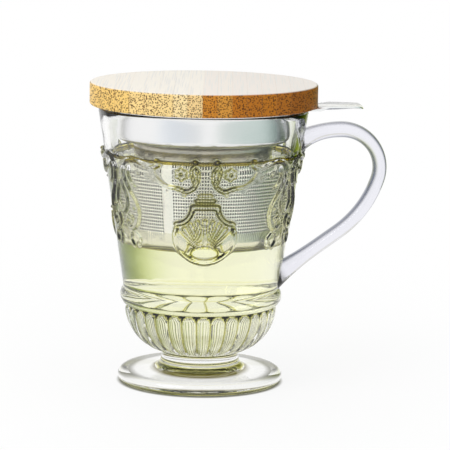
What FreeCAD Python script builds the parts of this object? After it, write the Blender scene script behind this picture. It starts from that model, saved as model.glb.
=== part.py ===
import FreeCAD, Part
import Sketcher
import math
import os
import re

# A lidded tea mug with a lift-out infuser, in millimetres, +Z up.
# The origin is on the mug's axis, in the plane that its foot rests on. The handle points to +X.

# Driving dimensions, each a name, a value and what it is.
SIZES = [
    ("foot_radius", 34.7, "outside radius of the foot"),
    ("foot_edge", 5.5, "thickness of the foot at its rounded edge"),
    ("foot_crown", 6.5, "height of the foot's top where it meets the stem"),
    ("foot_fillet", 4.0, "radius of the hollow between foot and stem"),
    ("recess_radius", 17.0, "radius of the hollow under the foot"),
    ("recess_depth", 3.0, "depth of the hollow under the foot"),
    ("stem_radius", 16.3, "radius of the short stem"),
    ("bowl_waist", 12.0, "distance from the axis to the centre of the bowl's bend"),
    ("bowl_height", 32.7, "height of the centre of the bowl's bend"),
    ("bowl_bend", 20.0, "radius of the bowl's bend, outside"),
    ("bowl_wall", 4.5, "thickness of the glass in the bowl"),
    ("ledge_step", 0.5, "gap from the bowl's bend up to the ledge ring"),
    ("ledge_height", 7.0, "height of the ledge ring over the bowl"),
    ("ledge_bulge", 1.6, "how far the ledge ring stands out"),
    ("ledge_inset", 0.6, "how much wider the wall's foot is than the bowl"),
    ("rim_radius", 44.0, "outside radius of the wall at the rim"),
    ("rim_height", 116.2, "height of the rim"),
    ("wall_glass", 3.0, "thickness of the wall"),
    ("lip_bevel", 1.0, "width of the rim's two softened edges"),
    ("flute_count", 32, "number of hollows between the bowl's ribs"),
    ("flute_width", 2.2, "width of each hollow"),
    ("flute_depth", 0.9, "depth of each hollow"),
    ("flute_start", 4.0, "angle below level at which a hollow starts"),
    ("flute_sweep", 66.0, "angle over which a hollow runs"),
    ("flute_turn", 8.55, "angle of the first hollow round the axis"),
    ("panel_count", 3, "number of ornament panels round the wall"),
    ("panel_turn", 2.4, "angle of the first panel from the front"),
    ("relief_rise", 1.4, "how far the ornament stands out from the wall"),
    ("relief_root", 1.0, "how deep the ornament is rooted in the glass"),
    ("band_low", 14.0, "distance from the ledge ring up to the ornament's band"),
    ("band_high", 17.0, "distance from the rim down to the ornament's band"),
    ("shell_lift", 20.3, "distance from the ledge ring up to the shell's hinge"),
    ("shell_radius", 14.5, "radius of the shell from its hinge"),
    ("shell_spread", 124.0, "angle over which the shell opens"),
    ("shell_rays", 5, "number of scallops on the shell's edge"),
    ("scallop", 0.9, "how far each scallop bulges"),
    ("shell_boss", 5.6, "half width of the boss at the shell's hinge"),
    ("boss_drop", 3.4, "how far the boss hangs under the shell's hinge"),
    ("rosette_radius", 2.8, "radius of each rosette"),
    ("moulding", 1.7, "greatest width of the swags and scrolls"),
    ("handle_reach", 14.0, "distance from the rim's radius to the handle's crest"),
    ("handle_drop", 8.45, "distance from the rim down to the handle's crest"),
    ("handle_root_bend", 34.0, "bend radius between the upper root and the crest"),
    ("handle_root_angle", 38.0, "turn of the handle from its upper end to its crest"),
    ("handle_bow", 15.8, "bend radius of the handle's outer bow"),
    ("handle_bow_angle", 108.0, "angle from the crest to the end of the bow"),
    ("handle_sweep_bend", 46.0, "bend radius under the bow"),
    ("handle_run_angle", 143.5, "angle from the crest at which the straight run starts"),
    ("handle_foot", 5.0, "height of the handle's lower end over the ledge ring"),
    ("handle_width", 10.5, "width of the handle across the mug"),
    ("handle_thick", 5.9, "thickness of the handle in its own plane"),
    ("crest_thick", 6.5, "thickness of the handle at its crest"),
    ("root_width", 15.0, "width of the handle's flared ends"),
    ("upper_root_thick", 11.0, "thickness of the handle's upper end"),
    ("lower_root_thick", 11.0, "thickness of the handle's lower end"),
    ("flange_sheet", 0.8, "thickness of the infuser's flange"),
    ("flange_margin", 0.4, "how far the flange stays inside the rim"),
    ("tab_length", 22.3, "distance from the rim's radius to the thumb tab's tip"),
    ("tab_hold", 1.0, "how far the thumb tab's root lies outside the collar"),
    ("tab_root_width", 22.0, "width of the thumb tab at the flange"),
    ("tab_tip_width", 14.0, "width of the thumb tab at its tip"),
    ("tab_round", 4.5, "radius of the thumb tab's corners"),
    ("collar_gap", 4.8, "gap between the infuser's collar and the glass at the rim"),
    ("collar_depth", 13.2, "depth of the collar under the rim"),
    ("collar_round", 2.8, "radius of the collar's lower corner"),
    ("sheet", 0.5, "thickness of the infuser's sheet metal"),
    ("shelf_width", 6.9, "width of the shelf from the collar in to the basket"),
    ("basket_taper", 4.7, "how much narrower the basket's base is than its top"),
    ("basket_depth", 43.0, "height of the basket's wall"),
    ("skirt_height", 4.0, "height of the base's turned-up skirt"),
    ("weld_gap", 0.1, "gap between the base's skirt and the wall round it"),
    ("drain_side", 1.2, "side of each square drain hole"),
    ("drain_pitch", 6.0, "distance from one ring of drain holes to the next"),
    ("drain_rings", 3, "number of rings of drain holes"),
    ("drain_step", 6, "how many more holes each ring has than the one inside it"),
    ("lid_overhang", 3.5, "how far the lid stands out over the rim"),
    ("lid_thick", 9.5, "thickness of the lid's board"),
    ("lid_bevel", 0.9, "width of the lid's softened edges"),
    ("strip_count", 16, "number of strips in the lid"),
    ("slab_margin", 1.0, "how far the slab that cuts a strip stands out round the board"),
    ("plug_depth", 4.0, "depth of the disc glued under the lid"),
    ("plug_gap", 1.1, "gap between the disc and the collar"),
    ("seal_thick", 1.6, "height of the sealing ring"),
    ("seal_bed", 0.8, "depth of the groove that holds the sealing ring"),
    ("seal_gap", 0.4, "gap between the sealing ring and the collar"),
    ("seal_drop", 1.0, "distance from the lid's underside to the sealing ring"),
]

# Places worked out from the driving dimensions, each a name and its formula.
PLACES = [
    ("floor_height", "bowl_height - bowl_bend + bowl_wall"),
    ("wall_foot_radius", "bowl_waist + bowl_bend + ledge_inset"),
    ("collar_radius", "rim_radius - wall_glass - collar_gap"),
    ("basket_radius", "rim_radius - wall_glass - collar_gap - shelf_width"),
    ("basket_low_radius", "basket_radius - basket_taper"),
    ("lid_radius", "rim_radius + lid_overhang"),
    ("tab_reach", "rim_radius + tab_length"),
    ("ledge_foot", "bowl_height + ledge_step"),
    ("ledge_top", "bowl_height + ledge_step + ledge_height"),
    ("stem_top", "bowl_height - sqrt(bowl_bend ^ 2 - (stem_radius - bowl_waist) ^ 2)"),
    ("crest_x", "rim_radius + handle_reach"),
    ("crest_z", "rim_height - handle_drop"),
    ("flange_top", "rim_height + flange_sheet"),
    ("shelf_height", "rim_height - collar_depth"),
    ("basket_foot", "rim_height - collar_depth - basket_depth"),
    ("collar_bore", "collar_radius - sheet"),
    ("plug_radius", "collar_radius - sheet - plug_gap"),
    ("plug_foot", "rim_height + flange_sheet - plug_depth"),
    ("seal_top", "rim_height + flange_sheet - seal_drop"),
    ("lid_top", "rim_height + flange_sheet + lid_thick"),
    ("strip_pitch", "2 * lid_radius / strip_count"),
]

NAMES = [row[0] for row in SIZES] + [row[0] for row in PLACES]

doc = FreeCAD.newDocument("TeaMug")
made = []

# How close the facets that check_and_write counts keep to the shapes, and how near two
# numbers are taken as one.
PRINT_TOLERANCE = 0.1
SAME = 1e-3


def bound(formula):
    """The formula with every size's name pointing into the sheet."""
    def point(match):
        word = match.group()
        return "Sizes." + word if word in NAMES else word
    return re.sub(r"[a-z][a-z_]*", point, str(formula))


def make_sheet():
    """The sheet of driving dimensions and the places that follow from them."""
    sheet = doc.addObject("Spreadsheet::Sheet", "Sizes")
    for row, (name, number, meaning) in enumerate(SIZES, start=1):
        sheet.set("A%d" % row, meaning)
        sheet.set("B%d" % row, str(number))
        sheet.setAlias("B%d" % row, name)
    for row, (name, formula) in enumerate(PLACES, start=len(SIZES) + 1):
        sheet.set("B%d" % row, "=" + formula)
        sheet.setAlias("B%d" % row, name)
    doc.recompute()
    return sheet


sizes = make_sheet()


def value(formula):
    """The number that a formula of sizes gives."""
    return float(sizes.evalExpression(str(formula)))


def new_body(name):
    body = doc.addObject("PartDesign::Body", name)
    body.Label = name
    made.append(body)
    return body


def origin_part(body, role):
    return next(o for o in body.Origin.OriginFeatures if o.Role == role)


def new_sketch(body, name, plane="XZ_Plane"):
    sketch = body.newObject("Sketcher::SketchObject", name)
    sketch.AttachmentSupport = [(origin_part(body, plane), "")]
    sketch.MapMode = "FlatFace"
    return sketch


def drive(sketch, kind, places, name, formula):
    """One measured constraint, bound to its formula."""
    index = sketch.addConstraint(Sketcher.Constraint(kind, *places, value(formula)))
    sketch.renameConstraint(index, name)
    sketch.setExpression("Constraints." + name, bound(formula))


def pin(sketch, geo, end, name, across, up):
    """Holds a point at its distances from the sketch's two axes."""
    for kind, formula, axis in (("DistanceX", across, -2), ("DistanceY", up, -1)):
        if str(formula) == "0":
            sketch.addConstraint(Sketcher.Constraint("PointOnObject", geo, end, axis))
        else:
            drive(sketch, kind, (-1, 1, geo, end), name + kind[-1], formula)


def arc_centre(start, end, rule, number, turn):
    """The centre of an arc between two corners, from its rule."""
    middle = (start + end) * 0.5
    chord = end - start
    side = FreeCAD.Vector(-chord.y, chord.x, 0) * (1 if turn == "left" else -1)
    if rule == "bulge":
        radius = (chord.Length ** 2 / 4 + number ** 2) / (2 * number)
        return middle + side.normalize() * (radius - number)
    if rule == "centre_x":
        if abs(side.x) < SAME:
            return FreeCAD.Vector(number, middle.y, 0)
        return middle + side * ((number - middle.x) / side.x)
    if abs(side.y) < SAME:
        return FreeCAD.Vector(middle.x, number, 0)
    return middle + side * ((number - middle.y) / side.y)


def add_side(sketch, start, end, arc):
    """A line or an arc between two corners, and which of its ends come first and last."""
    if arc is None:
        return sketch.addGeometry(Part.LineSegment(start, end)), 1, 2
    turn, rule, formula = arc
    centre = arc_centre(start, end, rule, value(formula), turn)
    first, last = (start, end) if turn == "left" else (end, start)
    angles = [math.atan2(p.y - centre.y, p.x - centre.x) for p in (first, last)]
    if angles[1] <= angles[0]:
        angles[1] += 2 * math.pi
    circle = Part.Circle(centre, FreeCAD.Vector(0, 0, 1), (start - centre).Length)
    geo = sketch.addGeometry(Part.ArcOfCircle(circle, *angles))
    return (geo, 1, 2) if turn == "left" else (geo, 2, 1)


def bulge_radius(start, end, formula):
    """The formula of an arc's radius from its two corners and its bulge."""
    chord = "((%s - (%s)) ^ 2 + (%s - (%s)) ^ 2)" % (end[0], start[0], end[1], start[1])
    return "(%s / 4 + (%s) ^ 2) / (2 * (%s))" % (chord, formula, formula)


def outline(body, name, corners, plane="XZ_Plane"):
    """A closed outline through corners.

    A corner is its distance across and up, with the way that the side leading to it
    turns, and the rule of its centre, where that side is an arc.
    """
    sketch = new_sketch(body, name, plane)
    add_outline(sketch, corners)
    return sketch


def add_outline(sketch, corners, prefix=""):
    """Draws a closed outline in a sketch, with its constraints named after the prefix."""
    count = len(corners)
    points = [FreeCAD.Vector(value(c[0]), value(c[1]), 0) for c in corners]
    sides = []
    for i in range(count):
        goal = corners[(i + 1) % count]
        arc = goal[2:] if len(goal) > 2 else None
        sides.append(add_side(sketch, points[i], points[(i + 1) % count], arc))
    for i in range(count):
        geo, first, last = sides[i]
        after, after_first, _ = sides[(i + 1) % count]
        sketch.addConstraint(Sketcher.Constraint("Coincident", geo, last, after, after_first))
        pin(sketch, geo, first, "%scorner%d" % (prefix, i), corners[i][0], corners[i][1])
        goal = corners[(i + 1) % count]
        if len(goal) == 2:
            continue
        rule, formula = goal[3], goal[4]
        if rule == "bulge":
            radius = bulge_radius(corners[i], goal, formula)
            drive(sketch, "Radius", (geo,), "%sarc%d" % (prefix, i), radius)
        elif rule == "centre_x" and str(formula) == "0":
            sketch.addConstraint(Sketcher.Constraint("PointOnObject", geo, 3, -2))
        else:
            kind = "DistanceX" if rule == "centre_x" else "DistanceY"
            drive(sketch, kind, (-1, 1, geo, 3), "%sarc%d" % (prefix, i), formula)


def turned(body, name, sketch, kind="PartDesign::Revolution"):
    """A full turn of a sketch round the upright axis, added or cut."""
    feature = body.newObject(kind, name)
    feature.Profile = sketch
    feature.ReferenceAxis = (sketch, ["V_Axis"])
    feature.Angle = 360
    doc.recompute()
    return feature


def polar(body, name, original, count):
    """Copies of a feature at even steps round the upright axis."""
    pattern = body.newObject("PartDesign::PolarPattern", name)
    pattern.Originals = [original]
    pattern.Axis = (origin_part(body, "Z_Axis"), [""])
    pattern.Angle = 360
    pattern.Occurrences = int(value(count))
    pattern.setExpression("Occurrences", bound(count))
    body.Tip = pattern
    doc.recompute()
    return pattern


def expect_less(body, before, what):
    """Stops where a cut took nothing away."""
    if body.Shape.Volume >= before:
        raise ValueError(what + " cut nothing")


def make_glass_mug():
    """The pressed glass mug: foot, stem, ribbed bowl, ledge ring and ornamented wall."""
    body = doc.addObject("PartDesign::Body", "mug_blank")
    inside = "rim_radius - wall_glass"
    lip = "rim_height - lip_bevel"
    edge = "foot_radius - foot_edge / 2"
    corners = [
        ("0", "floor_height"),
        ("bowl_waist", "floor_height"),
        ("bowl_waist + bowl_bend - bowl_wall", "bowl_height", "left", "centre_z", "bowl_height"),
        ("wall_foot_radius - wall_glass", "ledge_top"),
        (inside, lip),
        (inside + " + lip_bevel", "rim_height"),
        ("rim_radius - lip_bevel", "rim_height"),
        ("rim_radius", lip),
        ("wall_foot_radius", "ledge_top"),
        ("bowl_waist + bowl_bend", "ledge_foot", "right", "bulge", "ledge_bulge"),
        ("bowl_waist + bowl_bend", "bowl_height"),
        ("stem_radius", "stem_top", "right", "centre_z", "bowl_height"),
        ("stem_radius", "foot_crown + foot_fillet"),
        ("stem_radius + foot_fillet", "foot_crown", "left", "centre_z", "foot_crown + foot_fillet"),
        (edge, "foot_edge"),
        (edge, "0", "right", "centre_x", edge),
        ("recess_radius", "0"),
        ("0", "recess_depth", "left", "centre_x", "0"),
    ]
    turned(body, "mug_turning", outline(body, "mug_profile", corners))
    plain = body.Shape.Volume
    cut_flutes(body)
    expect_less(body, plain, "the bowl's hollows")
    band = make_relief_band()
    panel = make_panel(band)
    others = [turned_copy(panel, i) for i in range(1, int(value("panel_count")))]
    mug = doc.addObject("Part::MultiFuse", "glass_mug")
    mug.Shapes = [body, panel] + others
    mug.Label = "glass_mug"
    made.append(mug)
    doc.recompute()
    forms = 1 + 2 * (1 + len(MOULDINGS))
    if len(panel.Shape.Solids) != forms or len(mug.Shape.Solids) != 1:
        raise ValueError("the ornament isn't whole, or isn't one with the wall")
    return mug


def make_relief_band():
    """The band that the ornament is cut from: a shell that follows the wall's own cone."""
    band = doc.addObject("PartDesign::Body", "relief_band")
    slope = "(rim_radius - wall_foot_radius) / (rim_height - lip_bevel - ledge_top)"
    low, high = "ledge_top + band_low", "rim_height - band_high"
    wall_at = "wall_foot_radius + (%s - ledge_top) * " + slope
    corners = [
        (wall_at % ("(" + low + ")") + " - relief_root", low),
        (wall_at % ("(" + low + ")") + " + relief_rise", low),
        (wall_at % ("(" + high + ")") + " + relief_rise", high),
        (wall_at % ("(" + high + ")") + " - relief_root", high),
    ]
    turned(band, "band_turning", outline(band, "band_profile", corners))
    return band


def make_panel(band):
    """One panel of ornament: outlines drawn flat before the wall, cut out of the band."""
    sketch = new_sketch(band, "ornament")
    sketch.AttachmentOffset = FreeCAD.Placement(
        FreeCAD.Vector(0, 0, 0), FreeCAD.Rotation(FreeCAD.Vector(0, 1, 0), value("panel_turn"))
    )
    sketch.setExpression("AttachmentOffset.Rotation.Angle", bound("panel_turn"))
    add_outline(sketch, shell_corners(), "shell_")
    for side, prefix in ((1, "right_"), (-1, "left_")):
        add_rosette(sketch, side, prefix)
        for name, start, end, bulge, turn in MOULDINGS:
            corners = crescent(start, end, bulge, turn, side)
            add_outline(sketch, corners, prefix + name + "_")
    prism = doc.addObject("Part::Extrusion", "ornament_prism")
    prism.Base = sketch
    prism.DirMode = "Normal"
    prism.Solid = True
    prism.FaceMakerClass = "Part::FaceMakerBullseye"
    prism.setExpression("LengthFwd", bound("rim_radius + relief_rise"))
    panel = doc.addObject("Part::Common", "panel")
    panel.Base = band
    panel.Tool = prism
    doc.recompute()
    return panel


def turned_copy(panel, number):
    """A linked copy of the first panel, turned round the upright axis to its own place."""
    copy = doc.addObject("App::Link", "panel_%d" % number)
    copy.LinkedObject = panel
    angle = "%d * 360 / panel_count" % number
    copy.Placement = FreeCAD.Placement(
        FreeCAD.Vector(0, 0, 0), FreeCAD.Rotation(FreeCAD.Vector(0, 0, 1), value(angle))
    )
    copy.setExpression("Placement.Rotation.Angle", bound(angle))
    return copy


# The ornament's half-moon mouldings on the right of a panel: a name, the start and the
# end as distances from the panel's middle and from the shell's hinge, the bulge of the
# outer side, and the way that side turns. The left half is its mirror image.
MOULDINGS = [
    ("swag", (4.6, 26.6), (20.6, 32.4), 4.6, "left"),
    ("scroll_top", (21.0, 35.6), (37.2, 34.4), 3.2, "right"),
    ("scroll_back", (37.6, 34.0), (31.6, 18.4), 3.8, "right"),
    ("scroll_foot", (31.4, 17.6), (36.6, 6.4), 3.4, "left"),
]
ROSETTE_PLACE = (9.8, 32.7)


def shell_corners():
    """The scallop shell: bulging arcs at even angles about its hinge, closed by a round boss."""
    hinge = "ledge_top + shell_lift"
    rays = int(value("shell_rays"))
    corners = [("shell_boss", hinge, "left", "bulge", "boss_drop")]
    for ray in range(rays + 1):
        angle = "(shell_spread / 2 - %d * shell_spread / shell_rays)" % ray
        across = "shell_radius * sin(%s)" % angle
        up = "%s + shell_radius * cos(%s)" % (hinge, angle)
        corner = (across, up) if ray == 0 else (across, up, "left", "bulge", "scallop")
        corners.append(corner)
    corners.append(("-shell_boss", hinge))
    return corners


def add_rosette(sketch, side, prefix):
    """A round boss for the rosette: a circle held by its centre and its radius."""
    across, lift = ROSETTE_PLACE
    up = "ledge_top + shell_lift + %s" % lift
    centre = FreeCAD.Vector(side * across, value(up), 0)
    circle = Part.Circle(centre, FreeCAD.Vector(0, 0, 1), value("rosette_radius"))
    ring = sketch.addGeometry(circle)
    pin(sketch, ring, 3, prefix + "rosette", str(side * across), up)
    drive(sketch, "Radius", (ring,), prefix + "rosette_size", "rosette_radius")


def crescent(start, end, bulge, turn, side):
    """A half-moon between two points; its inner side bulges less by the moulding's width."""
    base = "ledge_top + shell_lift + %s"
    near = (str(side * start[0]), base % start[1])
    far = (str(side * end[0]), base % end[1])
    ways = ["left", "right"]
    first = turn if side > 0 else ways[1 - ways.index(turn)]
    second = ways[1 - ways.index(first)]
    return [
        near + (second, "bulge", "%s - moulding" % bulge),
        far + (first, "bulge", str(bulge)),
    ]


def cut_flutes(body):
    """The hollows between the bowl's ribs: a notch carried down the bowl's bend."""
    sketch = new_sketch(body, "flute_section", "XY_Plane")
    sketch.AttachmentOffset = FreeCAD.Placement(
        FreeCAD.Vector(0, 0, value("bowl_height")),
        FreeCAD.Rotation(FreeCAD.Vector(0, 0, 1), value("flute_turn")),
    )
    sketch.setExpression("AttachmentOffset.Base.z", bound("bowl_height"))
    sketch.setExpression("AttachmentOffset.Rotation.Angle", bound("flute_turn"))
    root = "bowl_waist + bowl_bend - flute_depth"
    mouth = "bowl_waist + bowl_bend + flute_depth"
    deep, out, half = value(root), value(mouth), value("flute_width")
    spots = [(deep, 0), (out, -half), (out, half)]
    for i in range(3):
        start, end = spots[i], spots[(i + 1) % 3]
        line = Part.LineSegment(FreeCAD.Vector(*start, 0), FreeCAD.Vector(*end, 0))
        sketch.addGeometry(line)
    for i in range(3):
        sketch.addConstraint(Sketcher.Constraint("Coincident", i, 2, (i + 1) % 3, 1))
    sketch.addConstraint(Sketcher.Constraint("PointOnObject", 0, 1, -1))
    sketch.addConstraint(Sketcher.Constraint("Symmetric", 1, 1, 1, 2, -1))
    drive(sketch, "DistanceX", (-1, 1, 0, 1), "root", root)
    drive(sketch, "DistanceX", (-1, 1, 1, 1), "mouth", mouth)
    drive(sketch, "DistanceY", (1, 1, 1, 2), "spread", "2 * flute_width")
    waist = value("bowl_waist")
    hinge = sketch.addGeometry(
        Part.LineSegment(FreeCAD.Vector(waist, 0, 0), FreeCAD.Vector(waist, waist / 2, 0)), True
    )
    sketch.addConstraint(Sketcher.Constraint("Vertical", hinge))
    sketch.addConstraint(Sketcher.Constraint("PointOnObject", hinge, 1, -1))
    drive(sketch, "DistanceX", (-1, 1, hinge, 1), "waist", "bowl_waist")
    drive(sketch, "DistanceY", (hinge, 1, hinge, 2), "axis", "bowl_waist / 2")
    groove = body.newObject("PartDesign::Groove", "flute")
    groove.Profile = sketch
    groove.ReferenceAxis = (sketch, ["Axis0"])
    groove.Type = "TwoAngles"
    groove.Angle = value("flute_start + flute_sweep")
    groove.Angle2 = -value("flute_start")
    groove.setExpression("Angle", bound("flute_start + flute_sweep"))
    groove.setExpression("Angle2", bound("-flute_start"))
    doc.recompute()
    polar(body, "flutes", groove, "flute_count")


def oval(body, name, along, up, tilt, width, thick):
    """An oval across the handle's line, leaning down by its tilt."""
    sketch = new_sketch(body, name, "YZ_Plane")
    sketch.AttachmentOffset = FreeCAD.Placement(
        FreeCAD.Vector(0, value(up), value(along)),
        FreeCAD.Rotation(FreeCAD.Vector(1, 0, 0), value(tilt)),
    )
    sketch.setExpression("AttachmentOffset.Base.y", bound(up))
    sketch.setExpression("AttachmentOffset.Base.z", bound(along))
    sketch.setExpression("AttachmentOffset.Rotation.Angle", bound(tilt))
    centre = FreeCAD.Vector(0, 0, 0)
    far = FreeCAD.Vector(value(width) / 2, 0, 0)
    high = FreeCAD.Vector(0, value(thick) / 2, 0)
    ring = sketch.addGeometry(Part.Ellipse(far, high, centre))
    sketch.exposeInternalGeometry(ring)
    long_axis, short_axis = ring + 1, ring + 2
    sketch.addConstraint(Sketcher.Constraint("Coincident", ring, 3, -1, 1))
    sketch.addConstraint(Sketcher.Constraint("Horizontal", long_axis))
    drive(sketch, "Distance", (long_axis,), "width", width)
    drive(sketch, "Distance", (short_axis,), "thick", thick)
    return sketch


def handle_point(angle):
    """Where the handle's line is when it has turned by an angle from the crest."""
    if value(angle) <= 0:
        bend, shift_x, shift_z = "handle_root_bend", "0", "handle_root_bend"
    elif value(angle) <= value("handle_bow_angle"):
        bend, shift_x, shift_z = "handle_bow", "0", "handle_bow"
    else:
        bend = "handle_sweep_bend"
        shift_x = "(handle_bow - handle_sweep_bend) * sin(handle_bow_angle)"
        shift_z = "handle_bow - (handle_bow - handle_sweep_bend) * cos(handle_bow_angle)"
    along = "crest_x + %s + %s * sin(%s)" % (shift_x, bend, angle)
    up = "crest_z - (%s) + %s * cos(%s)" % (shift_z, bend, angle)
    return along, up


def handle_run_point(share):
    """A point on the handle's straight run, by the share of its way down to the lower end."""
    along, up = handle_point("handle_run_angle")
    fall = "%s * (%s - ledge_top - handle_foot)" % (share, up)
    along += " + %s / tan(handle_run_angle)" % fall
    up += " - " + fall
    return along, up


# Where the handle's ovals stand. A pair is a share of the way, and how far the oval there
# has widened towards the root: from the crest to the upper root, and down the straight run.
# A single share is of the bow's angle, or of the bend between the bow and the run.
UPPER_FLARES = [("1", "1"), ("0.65", "0.45"), ("0.3", "0.1")]
BOW_SHARES = ["0.45", "0.85"]
BEND_SHARE = "0.6"
LOWER_FLARES = [("0.05", "0"), ("0.4", "0"), ("0.75", "0.25"), ("1", "1")]


def make_glass_handle():
    """The ear-shaped glass handle, cut to the wall's own cone at both roots."""
    body = new_body("glass_handle")
    upper = "handle_thick + (upper_root_thick - handle_thick) * %s"
    lower = "handle_thick + (lower_root_thick - handle_thick) * %s"
    wide = "handle_width + (root_width - handle_width) * %s"
    rows = []
    for share, flare in UPPER_FLARES:
        angle = "-handle_root_angle * " + share
        rows.append((handle_point(angle), angle, wide % flare, upper % flare))
    rows.append((handle_point("0"), "0", "handle_width", "crest_thick"))
    for share in BOW_SHARES:
        angle = "handle_bow_angle * " + share
        rows.append((handle_point(angle), angle, "handle_width", "handle_thick"))
    angle = "(handle_bow_angle * (1 - %s) + handle_run_angle * %s)" % (BEND_SHARE, BEND_SHARE)
    rows.append((handle_point(angle), angle, "handle_width", "handle_thick"))
    for share, flare in LOWER_FLARES:
        place = handle_run_point(share)
        rows.append((place, "handle_run_angle", wide % flare, lower % flare))
    rings = []
    for i, ((along, up), tilt, width, thick) in enumerate(rows):
        rings.append(oval(body, "handle_oval_%02d" % i, along, up, tilt, width, thick))
    loft = body.newObject("PartDesign::AdditiveLoft", "handle_loft")
    loft.Profile = rings[0]
    loft.Sections = rings[1:]
    doc.recompute()
    whole = body.Shape.Volume
    slope = "(rim_radius - wall_foot_radius) / (rim_height - lip_bevel - ledge_top)"
    wall_at = "wall_foot_radius + (%s - ledge_top) * " + slope
    corners = [
        ("0", "bowl_height"),
        (wall_at % "bowl_height", "bowl_height"),
        (wall_at % "rim_height", "rim_height"),
        ("0", "rim_height"),
    ]
    cut = outline(body, "wall_cone", corners)
    turned(body, "wall_seat", cut, "PartDesign::Groove")
    expect_less(body, whole, "the wall's cone")
    if len(body.Shape.Solids) != 1:
        raise ValueError("the handle's end is left inside the wall")
    return body


def make_collar_cup():
    """The drawn collar that hangs from the flange, with the shelf that carries the basket."""
    body = new_body("collar_cup")
    bend = "shelf_height + collar_round"
    turn_in = "collar_radius - collar_round"
    corners = [
        ("collar_radius", "rim_height"),
        ("collar_radius", bend),
        (turn_in, "shelf_height", "right", "centre_z", bend),
        ("basket_radius - sheet", "shelf_height"),
        ("basket_radius - sheet", "shelf_height + sheet"),
        ("collar_bore", "shelf_height + sheet"),
        ("collar_bore", "rim_height"),
    ]
    turned(body, "collar_turning", outline(body, "collar_profile", corners))
    return body


def make_basket_wall():
    """The rolled sheet wall of the basket, tapering to its base."""
    body = new_body("basket_wall")
    corners = [
        ("basket_radius", "shelf_height"),
        ("basket_low_radius", "basket_foot"),
        ("basket_low_radius - sheet", "basket_foot"),
        ("basket_radius - sheet", "shelf_height"),
    ]
    turned(body, "basket_turning", outline(body, "basket_profile", corners))
    return body


def make_basket_base():
    """The pressed base of the basket: a disc under the wall, a skirt inside it, square drains."""
    body = new_body("basket_base")
    skirt = "basket_low_radius - sheet - weld_gap"
    lean = " + skirt_height * (basket_radius - basket_low_radius) / basket_depth"
    corners = [
        ("0", "basket_foot - sheet"),
        ("basket_low_radius", "basket_foot - sheet"),
        ("basket_low_radius", "basket_foot"),
        (skirt, "basket_foot"),
        (skirt + lean, "basket_foot + skirt_height"),
        (skirt + lean + " - sheet", "basket_foot + skirt_height"),
        (skirt + " - sheet", "basket_foot"),
        ("0", "basket_foot"),
    ]
    turned(body, "base_turning", outline(body, "base_profile", corners))
    for ring in range(1, int(value("drain_rings")) + 1):
        cut_drains(body, ring)
    return body


def cut_drains(body, ring):
    """One ring of square drain holes, six more than the ring inside it."""
    near = "(%d * drain_pitch - drain_side / 2)" % ring
    half = "drain_side / 2"
    sketch = new_sketch(body, "drain_square_%d" % ring, "XY_Plane")
    left, side = value(near), value("drain_side")
    spots = [(left, -side / 2), (left + side, -side / 2), (left + side, side / 2), (left, side / 2)]
    for i in range(4):
        start, end = spots[i], spots[(i + 1) % 4]
        line = Part.LineSegment(FreeCAD.Vector(*start, 0), FreeCAD.Vector(*end, 0))
        sketch.addGeometry(line)
    for i in range(4):
        sketch.addConstraint(Sketcher.Constraint("Coincident", i, 2, (i + 1) % 4, 1))
        way = "Horizontal" if i % 2 == 0 else "Vertical"
        sketch.addConstraint(Sketcher.Constraint(way, i))
    drive(sketch, "DistanceX", (-1, 1, 0, 1), "near", near)
    drive(sketch, "DistanceY", (0, 1, -1, 1), "half", half)
    drive(sketch, "DistanceX", (0, 1, 0, 2), "side", "drain_side")
    drive(sketch, "DistanceY", (1, 1, 1, 2), "rise", "drain_side")
    before = body.Shape.Volume
    pocket = body.newObject("PartDesign::Pocket", "drain_%d" % ring)
    pocket.Profile = sketch
    pocket.Type = "ThroughAll"
    pocket.Reversed = True
    doc.recompute()
    polar(body, "drains_%d" % ring, pocket, "%d * drain_step" % ring)
    expect_less(body, before, "the drain holes")


def make_flange_ring():
    """The flat flange that rests on the rim, with its thumb tab."""
    body = new_body("flange_ring")
    outer = "rim_radius - flange_margin"
    corners = [
        ("collar_bore", "rim_height"),
        (outer, "rim_height"),
        (outer, "flange_top"),
        ("collar_bore", "flange_top"),
    ]
    turned(body, "flange_turning", outline(body, "flange_profile", corners))
    add_tab(body)
    return body


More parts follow.
